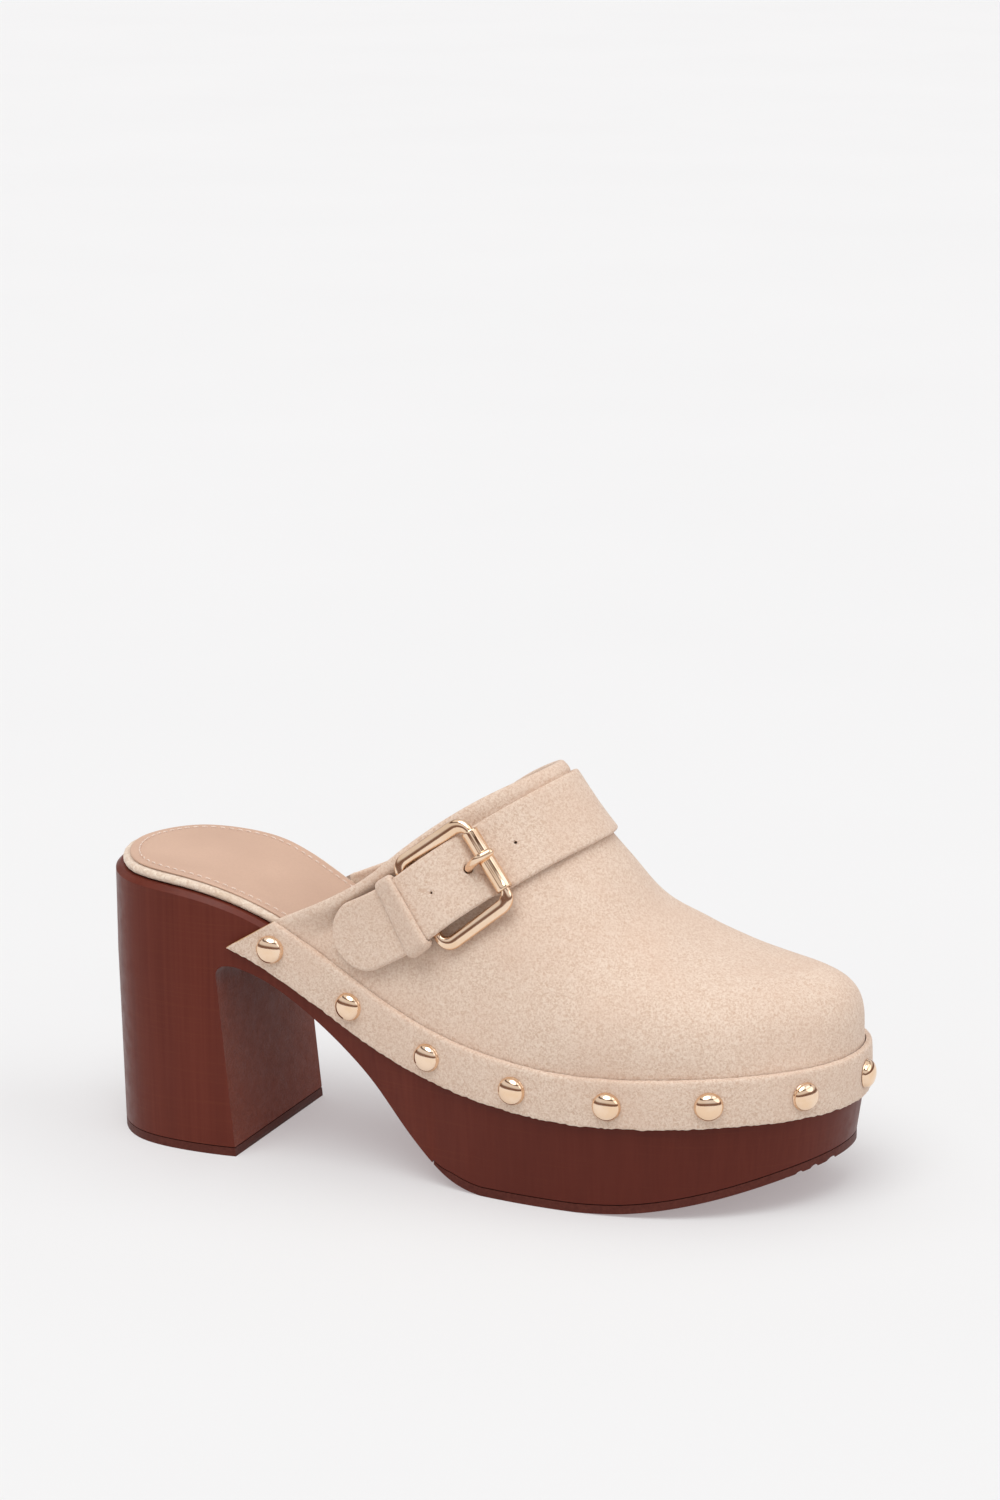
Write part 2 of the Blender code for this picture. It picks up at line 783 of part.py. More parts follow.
def strap_run():
    """Places along the strap's middle line, with the distance run to each."""
    count = len(STRAP_ROUTE)
    fine = np.linspace(0, count - 1, RUN_STEPS + 1)
    table = [(k, *row) for k, row in enumerate(STRAP_ROUTE)]
    place, across = Curve(table, 1), Curve(table, 2)
    spots = [(place(t), across(t)) for t in fine]
    points = np.array([upper_point(*spot) for spot in spots])
    run = np.concatenate(([0.0], np.cumsum(np.linalg.norm(np.diff(points, axis=0), axis=1))))
    return run, np.array(spots)


def strap_spot(along):
    """Place and share across the upper at this distance along the strap's middle line."""
    run, spots = RUN
    return np.array([np.interp(along, run, spots[:, k]) for k in range(2)])


def strap_point(along, side, height):
    """A point over the upper, by distance along the strap, distance to one side of it, and height."""
    spot = strap_spot(along)
    ahead, behind = strap_spot(along + STRAP_LOOK), strap_spot(along - STRAP_LOOK)
    way = upper_point(*ahead) - upper_point(*behind)
    way /= np.linalg.norm(way)
    pace = side / SIDE_WALK
    for _ in range(SIDE_WALK):
        here = upper_point(*spot)
        step = 1e-3
        by_place = (upper_point(spot[0] + step, spot[1]) - here) / step
        by_across = (upper_point(spot[0], spot[1] + step) - here) / step
        normal = upper_normal(*spot)
        target = np.cross(normal, way)
        target *= pace / np.linalg.norm(target)
        move = np.linalg.lstsq(np.column_stack((by_place, by_across)), target, rcond=None)[0]
        spot = spot + move
    return upper_point(*spot) + upper_normal(*spot) * height


def stepped(knots, at):
    """Heights that run level at each knot and smoothly between them."""
    for (a, low), (b, high) in zip(knots, knots[1:]):
        if at <= b:
            return low + (high - low) * smooth(at, a, b)
    return knots[-1][1]


class StrapPlan:
    """Where things lie along the strap, measured from its inner end, and how high it runs over the upper."""

    def __init__(self):
        self.length = RUN[0][-1]
        self.keeper = self.length - TAIL_LENGTH
        self.bar = self.keeper - KEEPER_WIDTH / 2 - BUCKLE_WIRE / 2 - CLEARANCE
        self.roller = self.bar - BUCKLE_LENGTH
        self.hole = self.roller + PRONG_HOLE_DISTANCE
        self.bar_height = 2 * CLEARANCE + BUCKLE_WIRE / 2
        self.roller_height = 3 * CLEARANCE + STRAP_WALL + ROLLER_DIAMETER / 2
        over_prong = 2 * CLEARANCE + PRONG_WIRE
        over_bar = 3 * CLEARANCE + BUCKLE_WIRE + self.hollow()
        over_keeper = 2 * CLEARANCE + KEEPER_WALL
        self.knots = (
            (0.0, CLEARANCE),
            (self.roller + PRONG_HOLE / 2, CLEARANCE),
            (self.hole - PRONG_HOLE / 2 + CLEARANCE, over_prong),
            (self.bar - BUCKLE_WIRE, over_bar),
            (self.bar + BUCKLE_WIRE / 2, over_bar),
            (self.keeper + KEEPER_WIDTH / 2, over_keeper),
            (self.length, 2 * CLEARANCE),
        )

    def hollow(self):
        """How much higher a straight bar's middle lies over the upper than its ends do."""
        ends = [strap_point(self.bar, side * BUCKLE_WIDTH / 2, self.bar_height) for side in (-1, 1)]
        middle = strap_point(self.bar, 0.0, self.bar_height)
        up = middle - strap_point(self.bar, 0.0, 0.0)
        return max(float(np.dot((ends[0] + ends[1]) / 2 - middle, up)) / self.bar_height, 0.0)

    def under(self, along):
        return stepped(self.knots, along)

    def keeper_rows(self):
        return [self.keeper + KEEPER_WIDTH * (k / KEEPER_STEPS - 0.5) for k in range(KEEPER_STEPS + 1)]


def strap_half_width(along, length):
    left = max(length - along, 0.0) / TAIL_ROUND
    return STRAP_WIDTH / 2 * (math.sqrt(1 - (1 - left) ** 2) if left < 1 else 1.0)


def instep_strap(plan, mat):
    in_keeper = plan.keeper_rows()
    stops = list(np.linspace(0.0, in_keeper[0], STRAP_STEPS, endpoint=False)) + in_keeper
    stops += list(np.linspace(in_keeper[-1], plan.length - TAIL_ROUND, TAIL_STEPS + 1))[1:]
    for k in range(1, TIP_STEPS):
        stops.append(plan.length - TAIL_ROUND * (1 - math.sin(math.pi / 2 * k / TIP_STEPS)))
    stops.append(plan.length - TAIL_ROUND * TIP_LEFT)
    shell = Shell()
    loops = []
    for along in stops:
        half = strap_half_width(along, plan.length)
        sides = [half * (2 * k / STRAP_ACROSS - 1) for k in range(STRAP_ACROSS + 1)]
        low = plan.under(along)
        loop = [strap_point(along, b, low) for b in sides]
        loop += [strap_point(along, b, low + STRAP_WALL) for b in sides[::-1]]
        loops.append(shell.row(loop))
    for one, two in zip(loops, loops[1:]):
        shell.strip(one, two, closed=True)
    for loop in (loops[0], loops[-1]):
        for k in range(STRAP_ACROSS):
            shell.quad(loop[k], loop[k + 1], loop[-k - 2], loop[-k - 1])
    strap = new_object("instep_strap", shell.points, shell.faces, mat)
    cutter = hole_cutter(plan)
    hole = strap.modifiers.new("prong hole", "BOOLEAN")
    hole.operation = "DIFFERENCE"
    hole.solver = "EXACT"
    hole.object = cutter
    return strap


def hole_cutter(plan):
    low = strap_point(plan.hole, 0.0, CLEARANCE)
    high = strap_point(plan.hole, 0.0, plan.roller_height + ROLLER_DIAMETER)
    points, faces = sweep([low, high], PRONG_HOLE / 2, WIRE_SIDES)
    cutter = new_object("prong_hole_cutter", points, faces, None)
    cutter.hide_render = True
    cutter.display_type = "WIRE"
    return cutter


def sweep(path, radius, sides, inner=None):
    """A round wire along a path; an inner radius makes it a tube."""
    path = [np.array(p, float) for p in path]
    count = len(path)
    shell = Shell()
    rings = {r: [] for r in (radius, inner) if r}
    across = None
    for k, point in enumerate(path):
        before, after = path[max(k - 1, 0)], path[min(k + 1, count - 1)]
        way = (after - before) / np.linalg.norm(after - before)
        if across is None:
            across = np.cross(way, (0.0, 0.0, 1.0) if abs(way[2]) < 0.9 else (1.0, 0.0, 0.0))
        across = across - way * float(np.dot(across, way))
        across /= np.linalg.norm(across)
        other = np.cross(way, across)
        turns = [2 * math.pi * s / sides for s in range(sides)]
        ways = [across * math.cos(t) + other * math.sin(t) for t in turns]
        for r, rows in rings.items():
            rows.append(shell.row([point + out * r for out in ways]))
    for rows in rings.values():
        for one, two in zip(rows, rows[1:]):
            shell.strip(one, two, closed=True)
    for end in (0, -1):
        if inner:
            shell.strip(rings[radius][end], rings[inner][end], closed=True)
        else:
            shell.faces.append(tuple(rings[radius][end]))
    return shell.points, shell.faces


def smooth_path(knots, count):
    """A curve through hand-placed points."""
    table = [(k, *knot) for k, knot in enumerate(knots)]
    curves = [Curve(table, column) for column in (1, 2, 3)]
    return [[curve(t) for curve in curves] for t in np.linspace(0, len(knots) - 1, count)]


def strap_keeper(plan, mat):
    """A flat loop round the strap, with the strap's own slope."""
    shell = Shell()
    half = STRAP_WIDTH / 2 + CLEARANCE
    loops = []
    for along in plan.keeper_rows():
        low = plan.under(along) - CLEARANCE
        high = plan.under(along) + STRAP_WALL + CLEARANCE
        sides = [half * (2 * s / STRAP_ACROSS - 1) for s in range(STRAP_ACROSS + 1)]
        hole = [(b, low) for b in sides] + [(b, high) for b in sides[::-1]]
        wide = [b * (half + KEEPER_WALL) / half for b in sides]
        skin = [(b, low - KEEPER_WALL) for b in wide] + [(b, high + KEEPER_WALL) for b in wide[::-1]]
        loops.append([shell.row([strap_point(along, *spot) for spot in loop]) for loop in (hole, skin)])
    for one, two in zip(loops, loops[1:]):
        shell.strip(one[0], two[0], closed=True)
        shell.strip(one[1], two[1], closed=True)
    for hole, skin in (loops[0], loops[-1]):
        shell.strip(hole, skin, closed=True)
    return new_object("strap_keeper", shell.points, shell.faces, mat)


def buckle_corners(plan):
    """Four corners in one plane: the bar's two ends, then the roller's two."""
    near, far = BUCKLE_SHIFT - BUCKLE_WIDTH / 2, BUCKLE_SHIFT + BUCKLE_WIDTH / 2
    corners = [
        strap_point(plan.bar, near, plan.bar_height),
        strap_point(plan.roller, near, plan.roller_height),
        strap_point(plan.roller, far, plan.roller_height),
        strap_point(plan.bar, far, plan.bar_height),
    ]
    normal = np.cross(corners[1] - corners[0], corners[3] - corners[0])
    normal /= np.linalg.norm(normal)
    twist = float(np.dot(corners[2] - corners[0], normal)) / 4
    return [corner + normal * (twist if k % 2 else -twist) for k, corner in enumerate(corners)]


def buckle_frame(plan, mat):
    """A closed frame with round corners, wider on its two sides; its far bar runs under the strap."""
    corners = buckle_corners(plan)
    normal = np.cross(corners[1] - corners[0], corners[3] - corners[0])
    normal /= np.linalg.norm(normal)
    path = []
    for k, corner in enumerate(corners):
        before, after = corners[k - 1], corners[(k + 1) % 4]
        back = (before - corner) / np.linalg.norm(before - corner)
        on = (after - corner) / np.linalg.norm(after - corner)
        centre = corner + (back + on) * BUCKLE_CORNER
        for step in range(CORNER_STEPS + 1):
            turn = math.pi / 2 * step / CORNER_STEPS
            point = centre - on * BUCKLE_CORNER * math.cos(turn) - back * BUCKLE_CORNER * math.sin(turn)
            share = smooth(math.sin(turn) if k in (0, 2) else math.cos(turn), 0.0, 1.0)
            path.append((point, BUCKLE_WIRE + (BUCKLE_FACE - BUCKLE_WIRE) * share))
        if k in (0, 2):
            path.append(((corner + after) / 2 + normal * BUCKLE_BOW, BUCKLE_FACE))
    shell = Shell()
    rows = []
    for k, (point, width) in enumerate(path):
        way = path[(k + 1) % len(path)][0] - path[k - 1][0]
        across = np.cross(normal, way / np.linalg.norm(way))
        turns = [2 * math.pi * side / WIRE_SIDES for side in range(WIRE_SIDES)]
        ring = [across * width * math.cos(t) + normal * BUCKLE_WIRE * math.sin(t) for t in turns]
        rows.append(shell.row([point + out / 2 for out in ring]))
    for one, two in zip(rows, rows[1:] + rows[:1]):
        shell.strip(one, two, closed=True)
    return new_object("buckle_frame", shell.points, shell.faces, mat, 50)


def buckle_roller(plan, mat):
    _, one, two, _ = buckle_corners(plan)
    middle = (one + two) / 2
    way = (two - one) / np.linalg.norm(two - one)
    ends = [middle - way * ROLLER_LENGTH / 2, middle + way * ROLLER_LENGTH / 2]
    points, faces = sweep(ends, ROLLER_DIAMETER / 2, ROLLER_SIDES, inner=BUCKLE_WIRE / 2 + ROLLER_CLEARANCE)
    return new_object("buckle_roller", points, faces, mat, 50)


def buckle_prong(plan, mat):
    """From beside the hidden bar under the strap, up through its hole and over the roller."""
    radius = PRONG_WIRE / 2
    low = CLEARANCE + radius
    _, one, two, _ = buckle_corners(plan)
    base = strap_point(plan.roller, 0.0, 0.0)
    up = upper_normal(*strap_spot(plan.roller))
    over = float(np.dot((one + two) / 2 - base, up)) + ROLLER_DIAMETER / 2 + CLEARANCE + radius
    knots = [(plan.bar - BUCKLE_WIRE / 2 - CLEARANCE, 0.0, low), ((plan.bar + plan.hole) / 2, 0.0, low)]
    knots += [(plan.hole - run * radius, 0.0, low + (over - low) * rise) for run, rise in PRONG_CLIMB]
    knots += [(plan.roller - run * radius, 0.0, over + rise * radius) for run, rise in PRONG_TIP]
    path = [strap_point(*spot) for spot in smooth_path(knots, PRONG_STEPS)]
    points, faces = sweep(path, radius, PRONG_SIDES)
    return new_object("buckle_prong", points, faces, mat, 50)


clear_scene()
PLAN = Curve(plan_rows(), 1)
CENTRE = Curve(CENTRE_LINE, 1)
SEAT_RISE, SEAT_LIFT = Curve(SEAT_LINE, 1), Curve(SEAT_LINE, 2)
ARCH_RISE, TOE_LIFT = Curve(UNDERSIDE_LINE, 1), Curve(UNDERSIDE_LINE, 2)
PACE = Curve(RIDGE_PACE, 1)
LEAN = Curve(SIDE_LEAN, 1)
RIDGE_HEIGHT, RIDGE_SHIFT, FULLNESS = (Curve(VAMP_RIDGE, column) for column in (1, 2, 3))
ORIGIN_X = (HEEL_TAPER + HEEL_DEPTH) / 2
HEEL_FOOT_TOP = underside_height(HEEL_DEPTH - BREAST_LEAN + BREAST_FILLET) - BREAST_FILLET
REBATE_START = VAMP_START - 2 * CLEARANCE
RUN = strap_run()

wood = material("faux_wood", (0.125, 0.035, 0.022), 0.45)
rubber = material("brown_rubber", (0.10, 0.03, 0.02), 0.6)
felt = material("cream_felt", (0.78, 0.66, 0.52), 0.9)
lining = material("tan_lining", (0.66, 0.45, 0.31), 0.55)
suede = material("sand_suede", (0.72, 0.56, 0.42), 0.9)
gold = material("pale_gold", (0.90, 0.62, 0.42), 0.18, 1.0)

sole_unit(wood)
heel_top_piece(rubber)
forefoot_outsole(rubber)
insole_board(felt)
sock_lining(lining)
upper(suede)
rand_band(suede)
for number, (centre, normal) in enumerate(stud_seats(), start=1):
    stud(f"stud_{number:02d}", centre, normal, gold)
strap_plan = StrapPlan()
instep_strap(strap_plan, suede)
strap_keeper(strap_plan, suede)
buckle_frame(strap_plan, gold)
buckle_roller(strap_plan, gold)
buckle_prong(strap_plan, gold)
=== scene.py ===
import math

import bmesh
import bpy
import numpy as np
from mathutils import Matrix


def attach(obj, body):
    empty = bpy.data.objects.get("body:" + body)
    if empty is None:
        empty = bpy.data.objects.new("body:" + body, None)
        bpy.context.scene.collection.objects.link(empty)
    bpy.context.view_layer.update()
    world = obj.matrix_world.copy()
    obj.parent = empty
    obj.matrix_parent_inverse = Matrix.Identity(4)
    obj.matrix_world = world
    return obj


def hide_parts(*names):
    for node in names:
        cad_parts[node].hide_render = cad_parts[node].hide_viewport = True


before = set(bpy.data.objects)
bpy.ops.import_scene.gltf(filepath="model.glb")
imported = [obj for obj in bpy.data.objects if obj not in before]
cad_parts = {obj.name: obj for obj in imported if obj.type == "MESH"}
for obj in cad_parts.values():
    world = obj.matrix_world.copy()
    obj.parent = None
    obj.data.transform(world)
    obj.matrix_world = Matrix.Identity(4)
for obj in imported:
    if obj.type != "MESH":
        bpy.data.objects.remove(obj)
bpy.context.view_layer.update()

# The solids' own sizes, in metres, repeated here because this file can't read their source.
SOLE_LENGTH = 0.2398
SOLE_WIDTH = 0.0870
HEEL_SEAT_WIDTH = 0.0655
HEEL_HEIGHT = 0.0865
PLATFORM_HEIGHT = 0.0407
TOE_SPRING = 0.0140
TOE_SWING = 0.0110
HEEL_END_RADIUS = 0.028
TOE_END_RADIUS = 0.040
ARCH_HEIGHT = 0.0620
HEEL_DEPTH = 0.0518
BREAST_LEAN = 0.0055
BREAST_FILLET = 0.0030
HEEL_TAPER = 0.0008
HEEL_INNER_FLARE = 0.0020
SOLE_EDGE_TAPER = 0.0018
SEAT_BEVEL = 0.0015
OUTSOLE_THICKNESS = 0.0027
OUTSOLE_START = 0.1190
OUTSOLE_EDGE = 0.0010
OUTSOLE_FEATHER = 0.0080
TOP_PIECE_THICKNESS = 0.0027
UPPER_WALL = 0.0020
UPPER_BULGE = 0.0012
VAMP_HEIGHT = 0.0840
INNER_LEAN = 0.045
VAMP_START = 0.0653
INSTEP_START = 0.1458
INSTEP_END = 0.2148
RAND_WIDTH = 0.0150
RAND_DROP = 0.0120
RAND_WALL = 0.0018
RAND_END_SLANT = 0.0150
RAND_OVERLAP = 0.0030
CLEARANCE = 0.0003
INSOLE_THICKNESS = 0.0026
INSOLE_INSET = 0.0024
INSOLE_EASE = 0.0120
SOCK_THICKNESS = 0.0006
SOCK_INSET = 0.0021
STUDS_EACH_SIDE = 7
STUD_DIAMETER = 0.0086
STUD_HEIGHT = 0.0030
STUD_END_DISTANCE = 0.0080
STUD_LINE = 0.47
STRAP_WIDTH = 0.0226
STRAP_WALL = 0.0020
TAIL_ROUND = 0.0100
BUCKLE_WIDTH = 0.0294
BUCKLE_LENGTH = 0.0244
BUCKLE_WIRE = 0.0030
BUCKLE_FACE = 0.0044
BUCKLE_SHIFT = 0.0008
BUCKLE_CORNER = 0.0038
ROLLER_DIAMETER = 0.0052
ROLLER_LENGTH = 0.0206
ROLLER_CLEARANCE = 0.00025
PRONG_WIRE = 0.0026
PRONG_HOLE = 0.0032
PRONG_HOLE_DISTANCE = 0.0057
KEEPER_WIDTH = 0.0076
KEEPER_WALL = 0.0015
TAIL_LENGTH = 0.0256
ORIGIN_X = (HEEL_TAPER + HEEL_DEPTH) / 2

# Half plan: share of the sole's length, share of the seat's or the forefoot's width.
SEAT_PLAN = ((0.05, 0.810), (0.09, 0.950), (0.14, 1.0), (0.19, 0.990))
FOREPART_PLAN = (
    (0.25, 0.690), (0.34, 0.676), (0.42, 0.743), (0.50, 0.830), (0.60, 0.940),
    (0.70, 1.000), (0.80, 0.965), (0.90, 0.795), (0.96, 0.560),
)
# Share of the sole's length, share of the toe's swing.
CENTRE_LINE = (
    (0.0, 0.0), (0.10, -0.10), (0.20, -0.12), (0.32, -0.13), (0.45, -0.06),
    (0.60, 0.02), (0.70, 0.12), (0.85, 0.35), (1.0, 1.0),
)
# Share of the sole's length, share of the heel's rise over the platform, share of the toe spring.
SEAT_LINE = (
    (0.00, 1.000, 0.00), (0.09, 0.980, 0.00), (0.193, 0.905, 0.00), (0.243, 0.805, 0.00),
    (0.294, 0.662, 0.00), (0.344, 0.517, 0.00), (0.395, 0.371, 0.00), (0.445, 0.247, 0.00),
    (0.495, 0.151, 0.00), (0.546, 0.085, 0.00), (0.596, 0.042, 0.00), (0.70, 0.000, 0.00),
    (0.80, 0.000, 0.05), (0.90, 0.000, 0.11), (1.00, 0.000, 0.12),
)
# Share of the sole's length, share of the arch's height, share of the toe spring.
UNDERSIDE_LINE = (
    (0.218, 0.995, 0.00), (0.248, 0.950, 0.00), (0.284, 0.870, 0.00), (0.329, 0.745, 0.00),
    (0.369, 0.620, 0.00), (0.415, 0.450, 0.00), (0.450, 0.290, 0.00), (0.481, 0.165, 0.00),
    (0.511, 0.070, 0.00), (0.541, 0.018, 0.00), (0.566, 0.000, 0.00), (0.70, 0.000, 0.00),
    (0.76, 0.000, 0.07), (0.83, 0.000, 0.27), (0.90, 0.000, 0.56),
    (0.96, 0.000, 0.84), (1.00, 0.000, 1.00),
)
# Share of the instep, share of the vamp's height, share of the toe's swing, fullness of the section.
VAMP_RIDGE = (
    (0.00, 1.000, 0.20, 2.10), (0.10, 0.880, 0.25, 2.12), (0.20, 0.765, 0.32, 2.16),
    (0.30, 0.660, 0.40, 2.20), (0.40, 0.555, 0.45, 2.25), (0.50, 0.472, 0.50, 2.35),
    (0.60, 0.424, 0.56, 2.40), (0.75, 0.362, 0.63, 2.55), (1.00, 0.310, 0.76, 2.90),
)
LEVEL_STATION = 0.7
LEAN_REACH = 4
RIDGE_PACE = ((0.0, 0.0), (0.35, 0.30), (0.70, 0.68), (0.90, 0.92), (1.0, 1.0))
SIDE_LEAN = (
    (0.0, 0.0), (0.15, 0.19), (0.30, 0.35), (0.50, 0.50),
    (0.70, 0.66), (0.85, 0.81), (1.0, 1.0),
)
# Places on the upper under the strap's middle line: from the topline to the toe, and across.
STRAP_ROUTE = (
    (0.092, 0.950), (0.103, 0.72), (0.113, 0.45), (0.120, 0.20), (0.120, 0.00),
    (0.116, -0.25), (0.110, -0.45), (0.096, -0.64), (0.081, -0.81), (0.067, -0.962),
)
# Run before the hole in prong radii, share of the climb to the roller's top.
PRONG_CLIMB = ((-1.6, 0.01), (0.0, 0.17), (0.3, 0.47), (2.2, 0.84))
# Run before the roller's middle and rise from its top, both in prong radii.
PRONG_TIP = ((-0.3, 0.0), (2.4, -0.9))

# Details that only the looks have.
EDGE_ROLL = 0.0026
BAND_SWELL = 0.0006
BAND_MIDDLE = 0.0030
BAND_REACH = 0.0022
BAND_FADE = 0.0060
UPPER_WAVE = 0.00016
LOOK_STATIONS = 190
ROUND_EDGE = 0.0005
FELT_LUMPS = 0.00012
STITCH_INSET = 0.0030
STITCH_LENGTH = 0.0021
STITCH_PITCH = 0.0029
STITCH_RADIUS = 0.00026
STITCH_LIFT = 0.00002
STITCH_SINK = 0.00018
STITCH_SLANT = 0.10
STITCH_GROOVE = 0.00022
STITCH_GROOVE_REACH = 0.0006
STITCH_SWELL = 0.00015
STITCH_SWELL_INSET = 0.0019
STITCH_SWELL_REACH = 0.0010
SOCK_ROUND = 0.0003
RAND_PILLOW = 0.00035
RAND_RAGGED = 0.00016
STUD_DIMPLE = 0.00045
STUD_DIMPLE_REACH = 0.0062
STRAP_EDGE = 0.0009
STRAP_CROWN = 0.00012
STRAP_TIP = 0.0004
KEEPER_EDGE = 0.0014
PINHOLE_RADII = (0.00042, 0.00050)
TAIL_PINHOLE_DISTANCE = 0.0125
FRONT_PINHOLE_DISTANCE = 0.0096
CUTTER_REACH = 0.010
ROLLER_RIBS = 14
ROLLER_RIB_DEPTH = 0.035
TREAD_PITCH = 0.0052
TREAD_DEPTH = 0.0007
TOP_PIECE_BREAST_BORDER = (0.004, 0.0055)
TOP_PIECE_BACK_BORDER = (0.008, 0.011)
FOREFOOT_TREAD_PITCH = TREAD_PITCH / 1.6
FOREFOOT_TREAD_SHIFT = 0.0008
TOE_NOTCHES = (0.2270, 0.2330)

FLOOR_GLOW = 0.34
SKY_GLOW = 0.85
FOCAL_LENGTH = 4160 / 1500 * 36.0
CAMERA_SHIFT = 235 / 1500
CAMERA_PLACE = (0.58646 - ORIGIN_X, -1.13683, 0.43008)
CAMERA_TILT = 17
CAMERA_TURN = 22

# Height of the direction looked in, tint of the studio surround there.
SKY_BANDS = (
    (0.0, (0.30, 0.22, 0.20)),
    (0.17, (0.20, 0.11, 0.08)),
    (0.32, (0.90, 0.89, 0.90)),
    (0.56, (0.92, 0.91, 0.92)),
    (0.62, (0.12, 0.07, 0.05)),
    (0.68, (0.12, 0.07, 0.05)),
    (0.75, (1.0, 0.99, 0.99)),
)

# Soft troughs and swells of the upper: start and end as (place, across), depth, half width.
# A swell has a negative depth.
CREASES = (
    ((0.034, -0.76), (0.046, -0.985), 0.0016, 0.0024),
    ((0.012, -0.68), (0.010, -0.93), -0.0009, 0.0030),
    ((0.150, -0.86), (0.135, -0.97), 0.0006, 0.0045),
    ((0.300, -0.75), (0.240, -0.45), 0.0004, 0.0080),
    ((0.200, -0.55), (0.190, -0.30), 0.0003, 0.0045),
    ((0.42, -0.60), (0.34, -0.15), 0.0004, 0.0070),
    ((0.42, 0.60), (0.34, 0.10), 0.0004, 0.0070),
    ((0.52, -0.20), (0.50, 0.25), 0.0004, 0.0060),
    ((0.62, -0.45), (0.55, -0.30), 0.0003, 0.0060),
)


# Curves and outlines


class Curve:
    """Natural cubic through one column of a table, against its first column; level beyond its ends."""

    def __init__(self, rows, column):
        self.xs = np.array([row[0] for row in rows], float)
        self.ys = np.array([row[column] for row in rows], float)
        count = len(self.xs)
        step = np.diff(self.xs)
        slope = np.diff(self.ys) / step
        system = np.eye(count)
        right = np.zeros(count)
        for i in range(1, count - 1):
            system[i, i - 1 : i + 2] = (step[i - 1], 2 * (step[i - 1] + step[i]), step[i])
            right[i] = 6 * (slope[i] - slope[i - 1])
        bend = np.linalg.solve(system, right)
        self.first = slope - step * (2 * bend[:-1] + bend[1:]) / 6
        self.second = bend[:-1] / 2
        self.third = np.diff(bend) / (6 * step)

    def __call__(self, x):
        x = np.clip(x, self.xs[0], self.xs[-1])
        i = np.clip(np.searchsorted(self.xs, x, side="right") - 1, 0, len(self.xs) - 2)
        t = x - self.xs[i]
        return self.ys[i] + t * (self.first[i] + t * (self.second[i] + t * self.third[i]))


def smooth(x, start, end):
    t = np.clip((x - start) / (end - start), 0.0, 1.0)
    return t * t * (3 - 2 * t)


def unit(vectors):
    return vectors / np.linalg.norm(vectors, axis=-1, keepdims=True)


def dots(a, b):
    return np.sum(a * b, axis=-1)


def root(share):
    return 2 * math.sqrt(share * (1 - share))


def full_turn(count):
    return np.linspace(0, 2 * math.pi, count, endpoint=False)


def distances(points):
    """Distance run along a line of points, at each of them."""
    return np.concatenate(([0.0], np.cumsum(np.linalg.norm(np.diff(points, axis=0), axis=1))))


def finer(values, times):
    places = np.linspace(0, len(values) - 1, times * len(values))
    return np.interp(places, np.arange(len(values)), values)


def angle_at(x):
    return np.arccos(np.clip(1 - 2 * np.asarray(x) / SOLE_LENGTH, -1.0, 1.0))


def x_of(angle):
    return SOLE_LENGTH / 2 * (1 - np.cos(angle))


def plan_rows():
    rows = [(0.0, math.sqrt(HEEL_END_RADIUS * SOLE_LENGTH / 2))]
    for share, width in SEAT_PLAN:
        rows.append((float(angle_at(share * SOLE_LENGTH)), width * HEEL_SEAT_WIDTH / 2 / root(share)))
    for share, width in FOREPART_PLAN:
        rows.append((float(angle_at(share * SOLE_LENGTH)), width * SOLE_WIDTH / 2 / root(share)))
    rows.append((math.pi, math.sqrt(TOE_END_RADIUS * SOLE_LENGTH / 2)))
    return rows


PLAN = Curve(plan_rows(), 1)
CENTRE = Curve(CENTRE_LINE, 1)
SEAT_RISE, SEAT_LIFT = Curve(SEAT_LINE, 1), Curve(SEAT_LINE, 2)
ARCH_RISE, TOE_LIFT = Curve(UNDERSIDE_LINE, 1), Curve(UNDERSIDE_LINE, 2)
PACE = Curve(RIDGE_PACE, 1)
LEAN = Curve(SIDE_LEAN, 1)
RIDGE_HEIGHT, RIDGE_SHIFT, FULLNESS = (Curve(VAMP_RIDGE, column) for column in (1, 2, 3))


def edge(angle, side):
    """Plan outline: an angle of 0 is the back of the heel and pi the toe; a side of -1 is the outer side."""
    angle, side = np.broadcast_arrays(np.asarray(angle, float), np.asarray(side, float))
    x = x_of(angle)
    half = PLAN(angle) * np.sin(angle)
    return np.stack((x, TOE_SWING * CENTRE(x / SOLE_LENGTH) + side * half), axis=-1)


def outward(angle, side):
    angle, side = np.broadcast_arrays(np.asarray(angle, float), np.asarray(side, float))
    step = 1e-4
    along = edge(np.minimum(angle + step, math.pi), side) - edge(np.maximum(angle - step, 0.0), side)
    level = np.stack((np.zeros_like(angle), np.where(angle < step, side, -side)), axis=-1)
    at_end = (angle < step) | (angle > math.pi - step)
    along = np.where(at_end[..., None], level, along)
    return unit(np.stack((-along[..., 1], along[..., 0]), axis=-1) * side[..., None])


def rim(angle, side, offset):
    return edge(angle, side) + outward(angle, side) * np.asarray(offset, float)[..., None]


def seat_height(x):
    share = x / SOLE_LENGTH
    rise = (HEEL_HEIGHT - PLATFORM_HEIGHT) * SEAT_RISE(share)
    return PLATFORM_HEIGHT + rise + TOE_SPRING * SEAT_LIFT(share)


def underside_height(x):
    share = x / SOLE_LENGTH
    return ARCH_HEIGHT * np.maximum(ARCH_RISE(share), 0.0) + TOE_SPRING * np.maximum(TOE_LIFT(share), 0.0)


def seat_slope_length(x):
    step = 0.002
    return np.hypot(1.0, (seat_height(x + step) - seat_height(x - step)) / (2 * step))


def rand_low(x):
    return seat_height(x) - RAND_DROP * seat_slope_length(x)


def rand_high(x):
    return rand_low(x) + RAND_WIDTH * seat_slope_length(x)


# Mesh helpers


